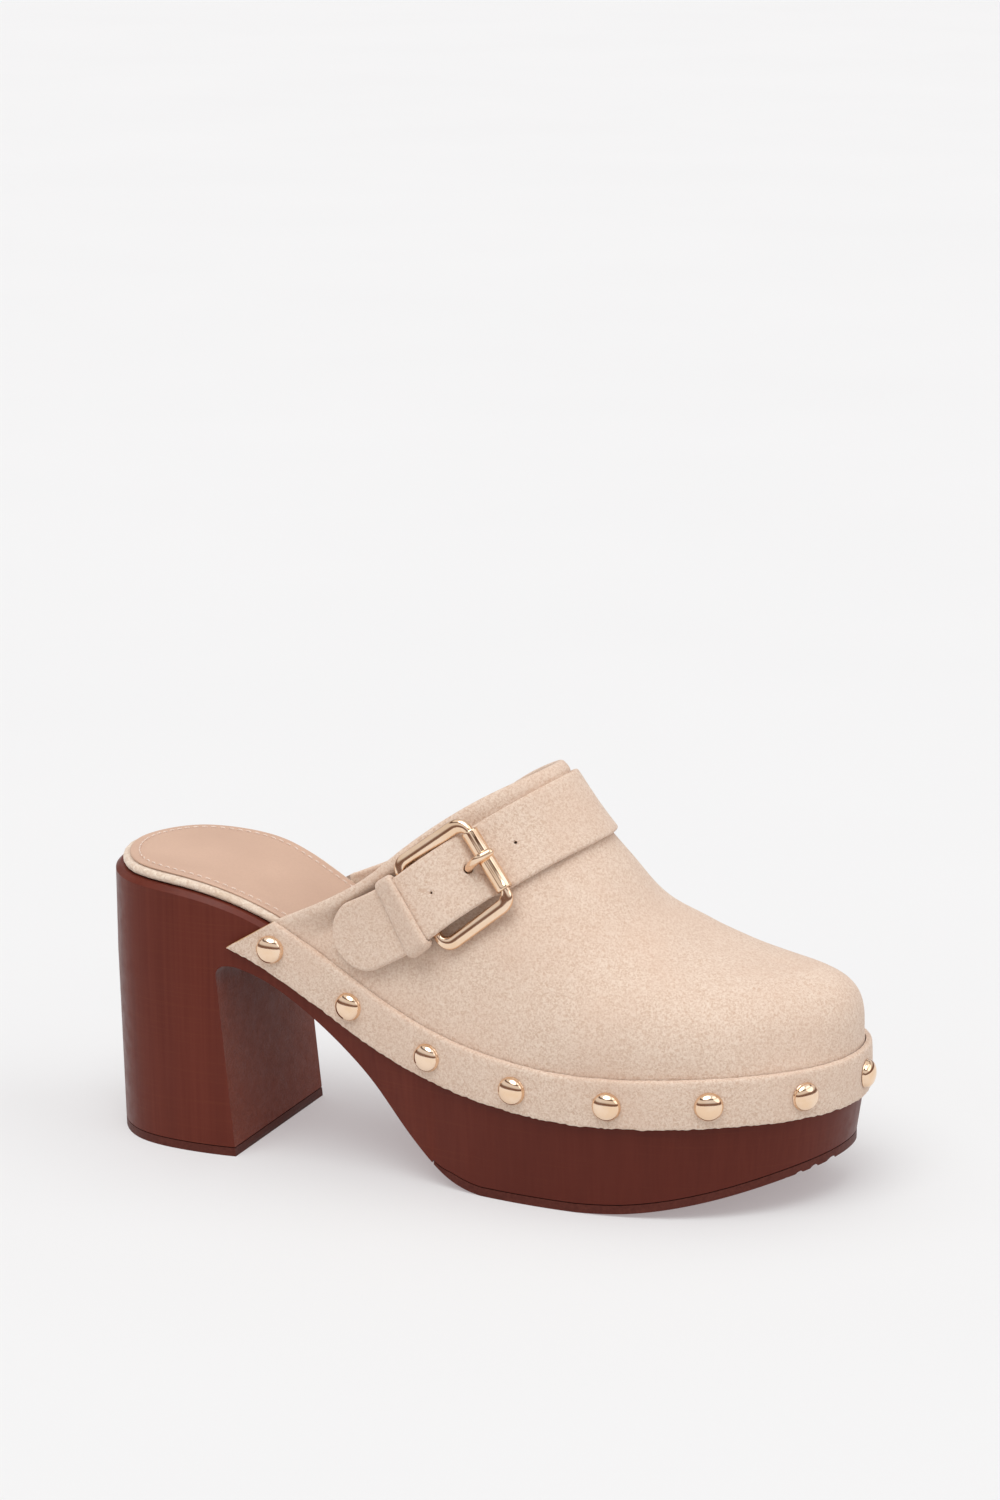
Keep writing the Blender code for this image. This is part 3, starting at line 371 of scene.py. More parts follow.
class Skin:
    """Grids of points that become one welded mesh."""

    def __init__(self):
        self.points = []
        self.faces = []
        self.slots = []
        self.count = 0

    def grid(self, points, wrap=False, slot=0):
        points = np.asarray(points, float)
        rows, columns = points.shape[:2]
        start = self.count
        self.points.append(points.reshape(-1, 3))
        self.count += rows * columns
        for r in range(rows - 1):
            for c in range(columns if wrap else columns - 1):
                n = (c + 1) % columns
                a = start + r * columns
                self.faces.append((a + c, a + n, a + columns + n, a + columns + c))
                self.slots.append(slot)

    def fan(self, ring, slot=0):
        """Fills a closed ring from its middle."""
        ring = np.asarray(ring, float)
        middle = np.repeat(ring.mean(axis=0)[None], len(ring), axis=0)
        self.grid(np.stack((ring, middle)), wrap=True, slot=slot)

    def rod(self, rings, slot=0):
        """Closed rings in a row, with both ends filled."""
        self.grid(rings, wrap=True)
        self.fan(rings[0], slot)
        self.fan(rings[-1], slot)

    def sleeve(self, outer, inner):
        """A tube's outer and inner rings, with both rims."""
        self.grid(outer, wrap=True)
        self.grid(inner, wrap=True)
        for k in (0, -1):
            self.grid(np.stack((outer[k], inner[k])), wrap=True)

    def slab(self, rings, count):
        """Closed rings along the sole's outline, with both ends filled straight across."""
        self.grid(rings, wrap=True)
        for ring in (rings[0], rings[-1]):
            self.grid(ring_cap(ring, count))

    def build(self, name, materials, weld=2e-6, sharp=38):
        mesh = bpy.data.meshes.new(name)
        points = np.vstack(self.points) - np.array((ORIGIN_X, 0.0, 0.0))
        mesh.from_pydata(points.tolist(), [], self.faces)
        mesh.polygons.foreach_set("material_index", self.slots)
        bm = bmesh.new()
        bm.from_mesh(mesh)
        bmesh.ops.remove_doubles(bm, verts=bm.verts, dist=weld)
        bmesh.ops.dissolve_degenerate(bm, edges=bm.edges, dist=weld)
        bmesh.ops.recalc_face_normals(bm, faces=bm.faces)
        bm.to_mesh(mesh)
        bm.free()
        for mat in materials:
            mesh.materials.append(mat)
        mesh.shade_smooth()
        mesh.set_sharp_from_angle(angle=math.radians(sharp))
        return add(name, mesh)

    def piece(self, node, slot, materials, **how):
        """The mesh as the look of one node."""
        return place(self.build(f"{node}_look", materials, **how), slot, node)


def add(name, data):
    obj = bpy.data.objects.new(name, data)
    bpy.context.scene.collection.objects.link(obj)
    return obj


def place(obj, slot, *nodes):
    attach(obj, "root")
    if nodes:
        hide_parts(*nodes)
    return obj


def round_edges(obj, width):
    bevel = obj.modifiers.new("round edges", "BEVEL")
    bevel.width = width
    bevel.segments = 3
    bevel.limit_method = "ANGLE"
    bevel.angle_limit = math.radians(40)
    bevel.harden_normals = True


def ring_points(angles, offset, height):
    offset = np.broadcast_to(offset, angles.shape)
    height = np.broadcast_to(height, angles.shape)
    outer = np.column_stack((rim(angles, -1, offset), height))
    inner = np.column_stack((rim(angles, 1, offset), height))
    return outer, inner


def closed_ring(angles, offset, height):
    outer, inner = ring_points(angles, offset, height)
    return np.vstack((outer, inner[-2:0:-1]))


def cap_grid(outer, inner, columns=14):
    share = np.linspace(0.0, 1.0, columns)[None, :, None]
    return outer[:, None] * (1 - share) + inner[:, None] * share


def ring_cap(ring, count):
    """Fills a closed ring whose first points are the outer side, from the heel to the toe."""
    return cap_grid(ring[:count], np.vstack((ring[:1], ring[: count - 1 : -1], ring[count - 1 : count])))


def noise_waves(seed, count, low, high):
    """A sum of plane waves: a repeatable small unevenness for points in space, from -1 to 1."""
    dice = np.random.default_rng(seed)
    ways = unit(dice.normal(size=(count, 3)))
    sizes = dice.uniform(low, high, count)
    starts = dice.uniform(0, 2 * math.pi, count)

    def value(points):
        waves = points @ (ways * (2 * math.pi / sizes)[:, None]).T + starts
        return np.sin(waves).sum(axis=-1) / math.sqrt(count)

    return value


# Materials


class Paint:
    """A node material built up step by step."""

    def __init__(self, name, roughness, metallic=0.0, specular=0.5):
        self.mat = bpy.data.materials.new(name)
        self.mat.use_nodes = True
        self.tree = self.mat.node_tree
        self.shader = self.tree.nodes["Principled BSDF"]
        self.shader.inputs["Roughness"].default_value = roughness
        self.shader.inputs["Metallic"].default_value = metallic
        self.shader.inputs["Specular IOR Level"].default_value = specular
        self.where = self.tree.nodes.new("ShaderNodeTexCoord").outputs["Object"]

    def set(self, **values):
        for key, value in values.items():
            self.shader.inputs[key.replace("_", " ").title()].default_value = value

    def node(self, kind, links=(), **values):
        made = self.tree.nodes.new("ShaderNode" + kind)
        for key, value in values.items():
            setattr(made, key, value)
        for socket, source in links:
            if hasattr(source, "is_output"):
                self.tree.links.new(source, made.inputs[socket])
            else:
                made.inputs[socket].default_value = source
        return made

    def noise(self, scale, detail=3.0, roughness=0.6, distortion=0.0, vector=None):
        links = [
            ("Vector", vector or self.where),
            ("Scale", scale),
            ("Detail", detail),
            ("Roughness", roughness),
            ("Distortion", distortion),
        ]
        return self.node("TexNoise", links).outputs["Fac"]

    def streaks(self, scale, detail=3.0, roughness=0.6):
        """Noise drawn out along the axes whose scale is small."""
        vector = self.node("Mapping", [("Vector", self.where), ("Scale", scale)]).outputs[0]
        return self.noise(1.0, detail, roughness, 0.0, vector)

    def ramp(self, value, low, high, start=0.0, end=1.0):
        links = [("Value", value), ("From Min", low), ("From Max", high), ("To Min", start), ("To Max", end)]
        return self.node("MapRange", links).outputs[0]

    def maths(self, operation, a, b):
        return self.node("Math", [(0, a), (1, b)], operation=operation).outputs[0]

    def times(self, a, b):
        return self.maths("MULTIPLY", a, b)

    def mix(self, share, a, b):
        made = self.node("Mix", [("Factor", share)], data_type="RGBA")
        for socket, source in ((6, a), (7, b)):
            if hasattr(source, "is_output"):
                self.tree.links.new(source, made.inputs[socket])
            else:
                made.inputs[socket].default_value = (*source, 1.0)
        return made.outputs[2]

    def blend(self, value, low, high, a, b, most=1.0):
        """Goes from one colour to the other as a value goes from low to high."""
        return self.mix(self.ramp(value, low, high, 0.0, most), a, b)

    def colour(self, source):
        self.tree.links.new(source, self.shader.inputs["Base Color"])

    def roughness(self, source):
        self.tree.links.new(source, self.shader.inputs["Roughness"])

    def bump(self, layers):
        """Stacks height layers: (height, strength, distance)."""
        normal = None
        for height, strength, distance in layers:
            links = [("Height", height), ("Strength", strength), ("Distance", distance)]
            if normal is not None:
                links.append(("Normal", normal))
            normal = self.node("Bump", links).outputs[0]
        self.tree.links.new(normal, self.shader.inputs["Normal"])

    def axis(self, letter):
        return self.node("SeparateXYZ", [(0, self.where)]).outputs[letter]

    def facing(self, letter):
        normal = self.node("NewGeometry").outputs["Normal"]
        return self.node("SeparateXYZ", [(0, normal)]).outputs[letter]


def suede(name, dark, light, rosy):
    paint = Paint(name, 0.94, specular=0.12)
    paint.set(sheen_weight=0.22, sheen_roughness=0.5, sheen_tint=(1.0, 0.95, 0.91, 1.0))
    curls = paint.noise(1500.0, 2.0, 0.58, 0.9)
    fine = paint.noise(2600.0, 2.0, 0.6, 0.6)
    patches = paint.noise(42.0, 3.0, 0.55, 0.4)
    brushed = paint.noise(150.0, 2.0, 0.5, 0.8)
    base = paint.blend(curls, 0.36, 0.60, dark, light)
    base = paint.blend(fine, 0.42, 0.66, base, light, 0.30)
    base = paint.blend(patches, 0.42, 0.66, base, rosy, 0.30)
    base = paint.blend(brushed, 0.50, 0.72, base, light, 0.18)
    paint.colour(base)
    paint.bump([(patches, 0.12, 0.0012), (curls, 0.42, 0.00042), (fine, 0.25, 0.00020)])
    return paint.mat


def felt():
    paint = Paint("cream_felt_look", 0.97)
    paint.set(sheen_weight=0.45, sheen_roughness=0.5, sheen_tint=(1.0, 0.96, 0.9, 1.0))
    clumps = paint.noise(520.0, 4.0, 0.65, 1.2)
    base = paint.blend(clumps, 0.34, 0.66, (0.66, 0.50, 0.38), (0.87, 0.75, 0.62))
    stained = paint.ramp(paint.noise(120.0, 2.0), 0.56, 0.74, 0.0, 0.35)
    paint.colour(paint.mix(stained, base, (0.60, 0.42, 0.27)))
    paint.bump([(clumps, 0.5, 0.0006)])
    return paint.mat


def sock_leather():
    paint = Paint("tan_sock_look", 0.52, specular=0.42)
    grain = paint.node("TexVoronoi", [("Vector", paint.where), ("Scale", 1500.0)]).outputs["Distance"]
    cloud = paint.noise(26.0, 3.0, 0.5)
    pores = paint.noise(1400.0, 3.0)
    base = paint.blend(cloud, 0.38, 0.66, (0.585, 0.385, 0.280), (0.655, 0.445, 0.330))
    paint.colour(paint.blend(pores, 0.4, 0.7, base, (0.52, 0.33, 0.235), 0.25))
    paint.roughness(paint.ramp(cloud, 0.35, 0.7, 0.46, 0.60))
    paint.bump([(grain, 0.10, 0.00012), (pores, 0.08, 0.0001)])
    return paint.mat


def faux_wood():
    """Reddish-brown moulding with upright streaks, level scratches and a dull, crinkled breast."""
    paint = Paint("faux_wood_look", 0.42, specular=0.16)
    paint.set(coat_weight=0.05, coat_roughness=0.30)
    upright = paint.streaks((760.0, 760.0, 14.0))
    boards = paint.streaks((120.0, 120.0, 5.0), 2.0, 0.5)
    level = paint.streaks((26.0, 26.0, 1500.0), 3.0, 0.65)
    cloud = paint.noise(30.0, 3.0, 0.5)
    crinkle = paint.noise(420.0, 5.0, 0.7, 2.2)
    base = paint.blend(upright, 0.36, 0.66, (0.112, 0.0175, 0.0085), (0.134, 0.0235, 0.0120))
    base = paint.blend(boards, 0.44, 0.72, base, (0.076, 0.0120, 0.0070), 0.26)
    base = paint.blend(level, 0.54, 0.76, base, (0.190, 0.048, 0.018), 0.30)
    base = paint.blend(cloud, 0.40, 0.70, base, (0.140, 0.026, 0.015), 0.30)
    past_arch = paint.ramp(paint.axis("X"), 0.085, 0.125)
    front = paint.times(past_arch, paint.ramp(paint.axis("X"), 0.225, 0.185))
    base = paint.mix(paint.times(front, 0.55), base, (0.088, 0.0125, 0.0060))
    heel = paint.ramp(paint.axis("X"), 0.034, 0.028)
    breast = paint.times(paint.ramp(paint.facing("X"), 0.75, 0.92), heel)
    low = paint.ramp(paint.axis("Z"), 0.060, 0.054)
    breast = paint.times(breast, low)
    dull = paint.blend(crinkle, 0.35, 0.70, (0.175, 0.0350, 0.0190), (0.250, 0.0640, 0.0370))
    base = paint.mix(breast, base, dull)
    # Painted highlight: wood faces that point upwards at the heel seat's rounded rim are lightened, as if
    # catching the light from above.
    lit_top_mask = paint.ramp(paint.facing("Z"), 0.30, 0.55)
    rim_back = paint.ramp(paint.axis("X"), 0.052, 0.046)
    bevel = paint.times(paint.times(lit_top_mask, rim_back), 0.10)
    base = paint.mix(bevel, base, (0.170, 0.045, 0.030))
    paint.colour(base)
    rough = paint.ramp(paint.noise(240.0, 4.0, 0.6), 0.35, 0.70, 0.33, 0.47)
    rough = paint.maths("ADD", rough, paint.times(breast, 0.14))
    paint.roughness(rough)
    crinkled = paint.times(crinkle, breast)
    paint.bump([(upright, 0.05, 0.0002), (level, 0.05, 0.0001), (crinkled, 0.55, 0.0008)])
    return paint.mat


def brown_rubber():
    paint = Paint("brown_rubber_look", 0.55, specular=0.18)
    specks = paint.noise(900.0, 4.0)
    wiped = paint.noise(60.0, 3.0)
    base = paint.blend(specks, 0.35, 0.7, (0.078, 0.0160, 0.0105), (0.112, 0.0270, 0.0175))
    paint.colour(paint.blend(wiped, 0.5, 0.7, base, (0.130, 0.038, 0.027), 0.3))
    paint.roughness(paint.ramp(wiped, 0.4, 0.7, 0.48, 0.62))
    paint.bump([(specks, 0.2, 0.00025)])
    return paint.mat


def rose_gold():
    paint = Paint("rose_gold_look", 0.10, 1.0)
    haze = paint.noise(160.0, 3.0)
    scratches = paint.streaks((2600.0, 300.0, 300.0), 2.0)
    paint.colour(paint.blend(haze, 0.40, 0.66, (0.90, 0.650, 0.445), (0.94, 0.725, 0.545)))
    paint.roughness(paint.ramp(haze, 0.35, 0.70, 0.06, 0.12))
    paint.bump([(scratches, 0.02, 0.00005)])
    return paint.mat


def raw_edge():
    paint = Paint("raw_cut_look", 0.9)
    layers = paint.streaks((900.0, 900.0, 3000.0))
    paint.colour(paint.blend(layers, 0.35, 0.68, (0.46, 0.235, 0.085), (0.68, 0.420, 0.200)))
    paint.bump([(layers, 0.4, 0.0003)])
    return paint.mat


def thread():
    paint = Paint("pale_thread_look", 0.8)
    twist = paint.noise(3200.0, 2.0)
    paint.colour(paint.blend(twist, 0.35, 0.65, (0.66, 0.51, 0.42), (0.88, 0.76, 0.67)))
    paint.bump([(twist, 0.4, 0.0002)])
    return paint.mat


def glowing_floor():
    paint = Paint("pale_glowing_floor", 0.85, specular=0.2)
    tone = paint.noise(3.0, 2.0)
    # Painted light: the floor glows faintly pink, which lifts the shadows cast on it and gives them a pink
    # tint; its own colour is a little bluish so that the unshaded floor stays a neutral pale grey.
    paint.colour(paint.blend(tone, 0.3, 0.7, (0.478, 0.514, 0.514), (0.488, 0.524, 0.524)))
    paint.set(emission_color=(1.0, 0.90, 0.91, 1.0), emission_strength=FLOOR_GLOW)
    return paint.mat


SUEDE = suede("sand_suede_look", (0.610, 0.432, 0.318), (0.788, 0.648, 0.534), (0.686, 0.494, 0.378))
FELT = felt()
SOCK = sock_leather()
WOOD = faux_wood()
RUBBER = brown_rubber()
GOLD = rose_gold()
RAW = raw_edge()
THREAD = thread()


# Sole


def sole_angles(first, last, *extra):
    shared = np.linspace(0.0, math.pi, LOOK_STATIONS + 1)
    kept = shared[(shared > first) & (shared < last)]
    extra = np.array([e for e in extra if first < e < last])
    gap = math.pi / LOOK_STATIONS * 0.3
    if len(extra):
        kept = kept[np.abs(kept[:, None] - extra[None]).min(axis=1) > gap]
    return np.sort(np.concatenate(([first], kept, extra, [last])))


BREAST_X = HEEL_DEPTH - BREAST_LEAN
BREAST = float(angle_at(BREAST_X))
HEEL_FOOT_TOP = float(underside_height(BREAST_X + BREAST_FILLET)) - BREAST_FILLET
REBATE_START = VAMP_START - 2 * CLEARANCE


def outsole_layer(x):
    share = smooth(x, OUTSOLE_START, OUTSOLE_START + OUTSOLE_FEATHER)
    return OUTSOLE_EDGE + (OUTSOLE_THICKNESS - OUTSOLE_EDGE) * share


def heel_outline(angles, height):
    """Inner breast corner, round the back, to the outer breast corner; it runs in and forward going down."""
    share = 1 - height / HEEL_FOOT_TOP
    stretch = (HEEL_DEPTH - HEEL_TAPER) / (BREAST_X - HEEL_TAPER)
    rows = []
    for side, those in ((1, angles[:0:-1]), (-1, angles)):
        top = rim(those, side, 0.0 * those)
        flare = HEEL_INNER_FLARE * np.maximum(outward(those, side)[:, 1], 0.0) - HEEL_TAPER
        foot = rim(those, side, flare)
        foot[:, 0] = HEEL_TAPER + (foot[:, 0] - HEEL_TAPER) * stretch
        rows.append(np.column_stack((top + (foot - top) * share, np.full(len(those), height))))
    return np.vstack(rows)


def heel_block(skin, angles, heights):
    """The heel's wall and breast, and its end at the last height; gives its rings."""
    rows = np.stack([heel_outline(angles, h) for h in heights])
    skin.grid(rows)
    skin.grid(cap_grid(rows[:, -1], rows[:, 0]))
    corner = len(angles) - 1
    skin.grid(cap_grid(rows[-1][corner:], rows[-1][corner::-1]))
    return rows


def sole_unit():
    fillet = [float(angle_at(BREAST_X + BREAST_FILLET * run)) for run in (0.06, 0.2, 0.4, 0.65, 1.0)]
    rebate = (float(angle_at(REBATE_START - CLEARANCE)), float(angle_at(REBATE_START)))
    outsole = (float(angle_at(OUTSOLE_START - 2 * CLEARANCE)), float(angle_at(OUTSOLE_START - CLEARANCE)))
    angles = sole_angles(0.0, math.pi, BREAST, *fillet, *rebate, *outsole)
    corner = int(np.argmin(np.abs(angles - BREAST)))
    x = x_of(angles)
    run = np.clip((x - BREAST_X) / BREAST_FILLET, 0.0, 1.0)
    drop = BREAST_FILLET * (1 - np.sqrt(np.maximum(1 - (1 - run) ** 2, 0.0)))
    layer = np.where(angles >= outsole[1] - 1e-9, outsole_layer(x) + CLEARANCE, 0.0)
    under = underside_height(np.maximum(x, BREAST_X + BREAST_FILLET)) + layer - drop
    under = np.where(angles <= BREAST + 1e-9, HEEL_FOOT_TOP, under)
    in_rebate = angles >= rebate[1] - 1e-9
    rebated = np.where(in_rebate, -(UPPER_WALL + CLEARANCE), 0.0)
    ledge = rand_low(x) + RAND_OVERLAP
    taper = np.where(angles <= BREAST + 1e-9, 0.0, -SOLE_EDGE_TAPER * smooth(angles, BREAST, outsole[0]))
    inset = rebated - np.where(in_rebate, CLEARANCE, SEAT_BEVEL)
    seat = seat_height(x)
    levels = [(taper, under)]
    for k in range(1, 5):
        levels.append((taper * (1 - k / 4), under + (ledge - under) * k / 5))
    levels += [(0.0, ledge), (rebated, ledge + 2 * CLEARANCE), (rebated, seat - SEAT_BEVEL), (inset, seat)]
    skin = Skin()
    skin.grid(np.stack([closed_ring(angles, *level) for level in levels]), wrap=True)
    skin.grid(cap_grid(*ring_points(angles, *levels[-1])))
    outer, inner = ring_points(angles, *levels[0])
    skin.grid(cap_grid(outer[corner:], inner[corner:]))
    floor = TOP_PIECE_THICKNESS + CLEARANCE
    heel_block(skin, angles[: corner + 1], np.linspace(HEEL_FOOT_TOP, floor, 14))
    obj = skin.build("sole_unit_look", [WOOD])
    round_edges(obj, ROUND_EDGE)
    return place(obj, "faux_wood", "sole_unit")


def heel_top_piece():
    """Wearing piece with cross grooves inside its border."""
    angles = sole_angles(0.0, BREAST)
    last = len(angles) - 1
    skin = Skin()
    rows = heel_block(skin, angles, np.linspace(0.0, TOP_PIECE_THICKNESS, 3))
    foot = cap_grid(rows[0][last:], rows[0][last::-1], 40)
    share = np.linspace(0.0, 1.0, foot.shape[1])[None]
    inside = smooth(HEEL_DEPTH - foot[..., 0], *TOP_PIECE_BREAST_BORDER)
    inside = np.minimum(inside, smooth(np.minimum(share, 1 - share), 0.05, 0.12))
    inside = np.minimum(inside, smooth(foot[..., 0], *TOP_PIECE_BACK_BORDER))
    groove = smooth(np.sin(foot[..., 0] * 2 * math.pi / TREAD_PITCH), 0.1, 0.6)
    foot[..., 2] += TREAD_DEPTH * groove * inside
    skin.grid(foot)
    obj = skin.build("heel_top_piece_look", [RUBBER])
    round_edges(obj, ROUND_EDGE * 0.8)
    return place(obj, "brown_rubber", "heel_top_piece")


def forefoot_outsole():
    """Wearing layer with cross grooves underneath, which notch its edge at the toe."""
    fine = finer(sole_angles(float(angle_at(OUTSOLE_START)), math.pi), 3)
    x = x_of(fine)
    low = underside_height(x)
    outer, inner = ring_points(fine, -SOLE_EDGE_TAPER, low)
    columns = 44
    bottom = cap_grid(outer, inner, columns)
    wave = np.sin((x + FOREFOOT_TREAD_SHIFT) * 2 * math.pi / FOREFOOT_TREAD_PITCH)
    groove = smooth(wave, 0.15, 0.55)[:, None]
    across = np.linspace(0.0, 1.0, columns)[None]
    border = smooth(np.minimum(across, 1 - across), 0.03, 0.07)
    border = np.maximum(border, smooth(x, *TOE_NOTCHES)[:, None])
    bottom[..., 2] += TREAD_DEPTH * groove * border
    top_outer, top_inner = ring_points(fine, -SOLE_EDGE_TAPER, low + outsole_layer(x))
    top = cap_grid(top_outer, top_inner, columns)
    skin = Skin()
    skin.grid(bottom)
    skin.grid(top)
    for k in (0, -1):
        skin.grid(np.stack((bottom[:, k], (bottom[:, k] + top[:, k]) / 2, top[:, k])))
    skin.grid(np.stack((bottom[0], top[0])))
    return skin.piece("forefoot_outsole", "brown_rubber", [RUBBER])


# Footbed


def footbed_inset(x):
    inside = UPPER_WALL + 3 * CLEARANCE
    share = smooth(x, VAMP_START - INSOLE_EASE, VAMP_START + INSOLE_EASE / 2)
    return -(INSOLE_INSET + (inside - INSOLE_INSET) * share)


def insole_board():
    """Felt-wrapped board with a round, uneven edge."""
    fine = finer(sole_angles(0.0, math.pi), 2)
    x = x_of(fine)
    inset = footbed_inset(x)
    low = seat_height(x) + CLEARANCE
    radius = INSOLE_THICKNESS / 2
    rings = []
    for turn in np.linspace(-math.pi / 2, math.pi / 2, 9):
        reach = radius * (math.cos(turn) - 1) * 0.8
        rings.append(closed_ring(fine, inset + reach, low + radius * (1 + math.sin(turn))))
    rings = np.stack(rings)
    rough = noise_waves(11, 26, 0.0014, 0.0050)(rings) * FELT_LUMPS
    centre = rings.mean(axis=(0, 1))
    way = unit(rings[..., :2] - centre[:2])
    rings[1:-1, :, :2] += (way * rough[..., None])[1:-1]
    skin = Skin()
    skin.slab(rings, len(fine))
    return skin.piece("insole_board", "cream_felt", [FELT])


def sock_lining():
    """Smooth sock with a soft groove under its stitches."""
    angles = sole_angles(0.0, math.pi)
    x = x_of(angles)
    inset = footbed_inset(x) - SOCK_INSET
    low = seat_height(x) + INSOLE_THICKNESS + 2 * CLEARANCE
    high = low + SOCK_THICKNESS
    steps = [(0.0, low), (0.0, (low + high) / 2), (-SOCK_ROUND, high)]
    for reach in (0.0010, 0.0018, 0.0023, 0.0027, 0.0030, 0.0033, 0.0037, 0.0043, 0.0052, 0.0070):
        past = reach - STITCH_INSET
        groove = STITCH_GROOVE * math.exp(-((past / STITCH_GROOVE_REACH) ** 2))
        swell = STITCH_SWELL * math.exp(-(((past - STITCH_SWELL_INSET) / STITCH_SWELL_REACH) ** 2))
        steps.append((-reach, high - groove + swell))
    rings = np.stack([closed_ring(angles, inset + reach, height) for reach, height in steps])
    skin = Skin()
    skin.slab(rings, len(angles))
    return skin.piece("sock_lining", "tan_lining", [SOCK])


def sock_stitches():
    """Raised threads in the sock's groove, each a little askew."""
    angles = np.linspace(0.0, math.pi, 900)
    x = x_of(angles)
    inset = footbed_inset(x) - SOCK_INSET - STITCH_INSET
    top = seat_height(x) + INSOLE_THICKNESS + 2 * CLEARANCE + SOCK_THICKNESS
    line = closed_ring(angles, inset, top)
    line = np.vstack((line, line[:1]))
    run = distances(line)
    count = int(run[-1] / STITCH_PITCH)
    skin = Skin()
    turns = full_turn(8)
    shares = np.sin(np.linspace(-math.pi / 2, math.pi / 2, 7))
    for k in range(count):
        here = run[-1] * k / count + np.array((-0.5, 0.5)) * STITCH_LENGTH
        ends = np.stack([np.interp(here, run, line[:, c]) for c in range(3)], axis=1)
        middle, way = ends.mean(axis=0), unit(ends[1] - ends[0])
        side = unit(np.cross(way, (0.0, 0.0, 1.0)))
        up = np.cross(side, way)
        way = unit(way + side * STITCH_SLANT)
        rows = []
        for share in shares:
            radius = STITCH_RADIUS * math.sqrt(max(1 - share**4, 0.0))
            sink = up * (STITCH_LIFT - STITCH_SINK * share * share)
            centre = middle + way * share * STITCH_LENGTH / 2 + sink
            rows.append([centre + (side * math.cos(t) + up * math.sin(t)) * radius for t in turns])
        skin.grid(rows, wrap=True)
    obj = skin.build("sock_stitches", [THREAD], weld=1e-7)
    return place(obj, "cream_felt")


# Upper


def vamp_angle(where):
    first = angle_at(VAMP_START)
    return first + (math.pi - first) * where


def ridge_point(share):
    run = PACE(share)
    x = INSTEP_START + (INSTEP_END - INSTEP_START) * run
    base = rand_high(VAMP_START + (SOLE_LENGTH - VAMP_START) * share)
    height = rand_high(SOLE_LENGTH * LEVEL_STATION) + VAMP_HEIGHT * RIDGE_HEIGHT(run)
    return np.stack((x, TOE_SWING * RIDGE_SHIFT(run), np.maximum(height, base)), axis=-1), FULLNESS(run)


def upper_point(where, across):
    """Outer face of the upper: 0 is the topline, 1 the toe; across is -1 and 1 at the rand, 0 on top."""
    where, across = np.broadcast_arrays(np.asarray(where, float), np.asarray(across, float))
    angle = vamp_angle(where)
    side = np.where(across < 0, -1.0, 1.0)
    base = edge(angle, side)
    normal = outward(angle, side)
    x = x_of(angle)
    ridge, fullness = ridge_point((x - VAMP_START) / (SOLE_LENGTH - VAMP_START))
    turn = (1 - np.abs(across)) * math.pi / 2
    lift = np.sign(turn) * np.abs(np.sin(turn)) ** (2 / fullness)
    reach = 1 - np.maximum(np.cos(turn), 0.0) ** (2 / fullness)
    facing = normal[..., 0] ** 2
    bulge = normal * (UPPER_BULGE * np.sin(2 * turn))[..., None]
    low = rand_high(x)
    lean = LEAN(lift) + np.where(across > 0, INNER_LEAN * np.sin(np.pi * lift), 0.0)
    run = (1 - facing) * lean + facing * reach
    return np.stack(
        (
            base[..., 0] + (ridge[..., 0] - base[..., 0]) * run + bulge[..., 0],
            base[..., 1] + (ridge[..., 1] - base[..., 1]) * reach + bulge[..., 1],
            low + (ridge[..., 2] - low) * lift,
        ),
        axis=-1,
    )


def upper_normal(where, across):
    step = 2e-3
    a = np.clip(across, -1 + 2 * step, 1 - 2 * step)
    p = np.clip(where, step, 1 - step)
    along = upper_point(p + step, a) - upper_point(p - step, a)
    over = upper_point(p, a + step) - upper_point(p, a - step)
    return unit(np.cross(along, over))


def segment_distance(points, start, end):
    way = end - start
    share = np.clip(dots(points - start, way) / dots(way, way), 0.0, 1.0)
    return np.linalg.norm(points - start - share[..., None] * way, axis=-1)


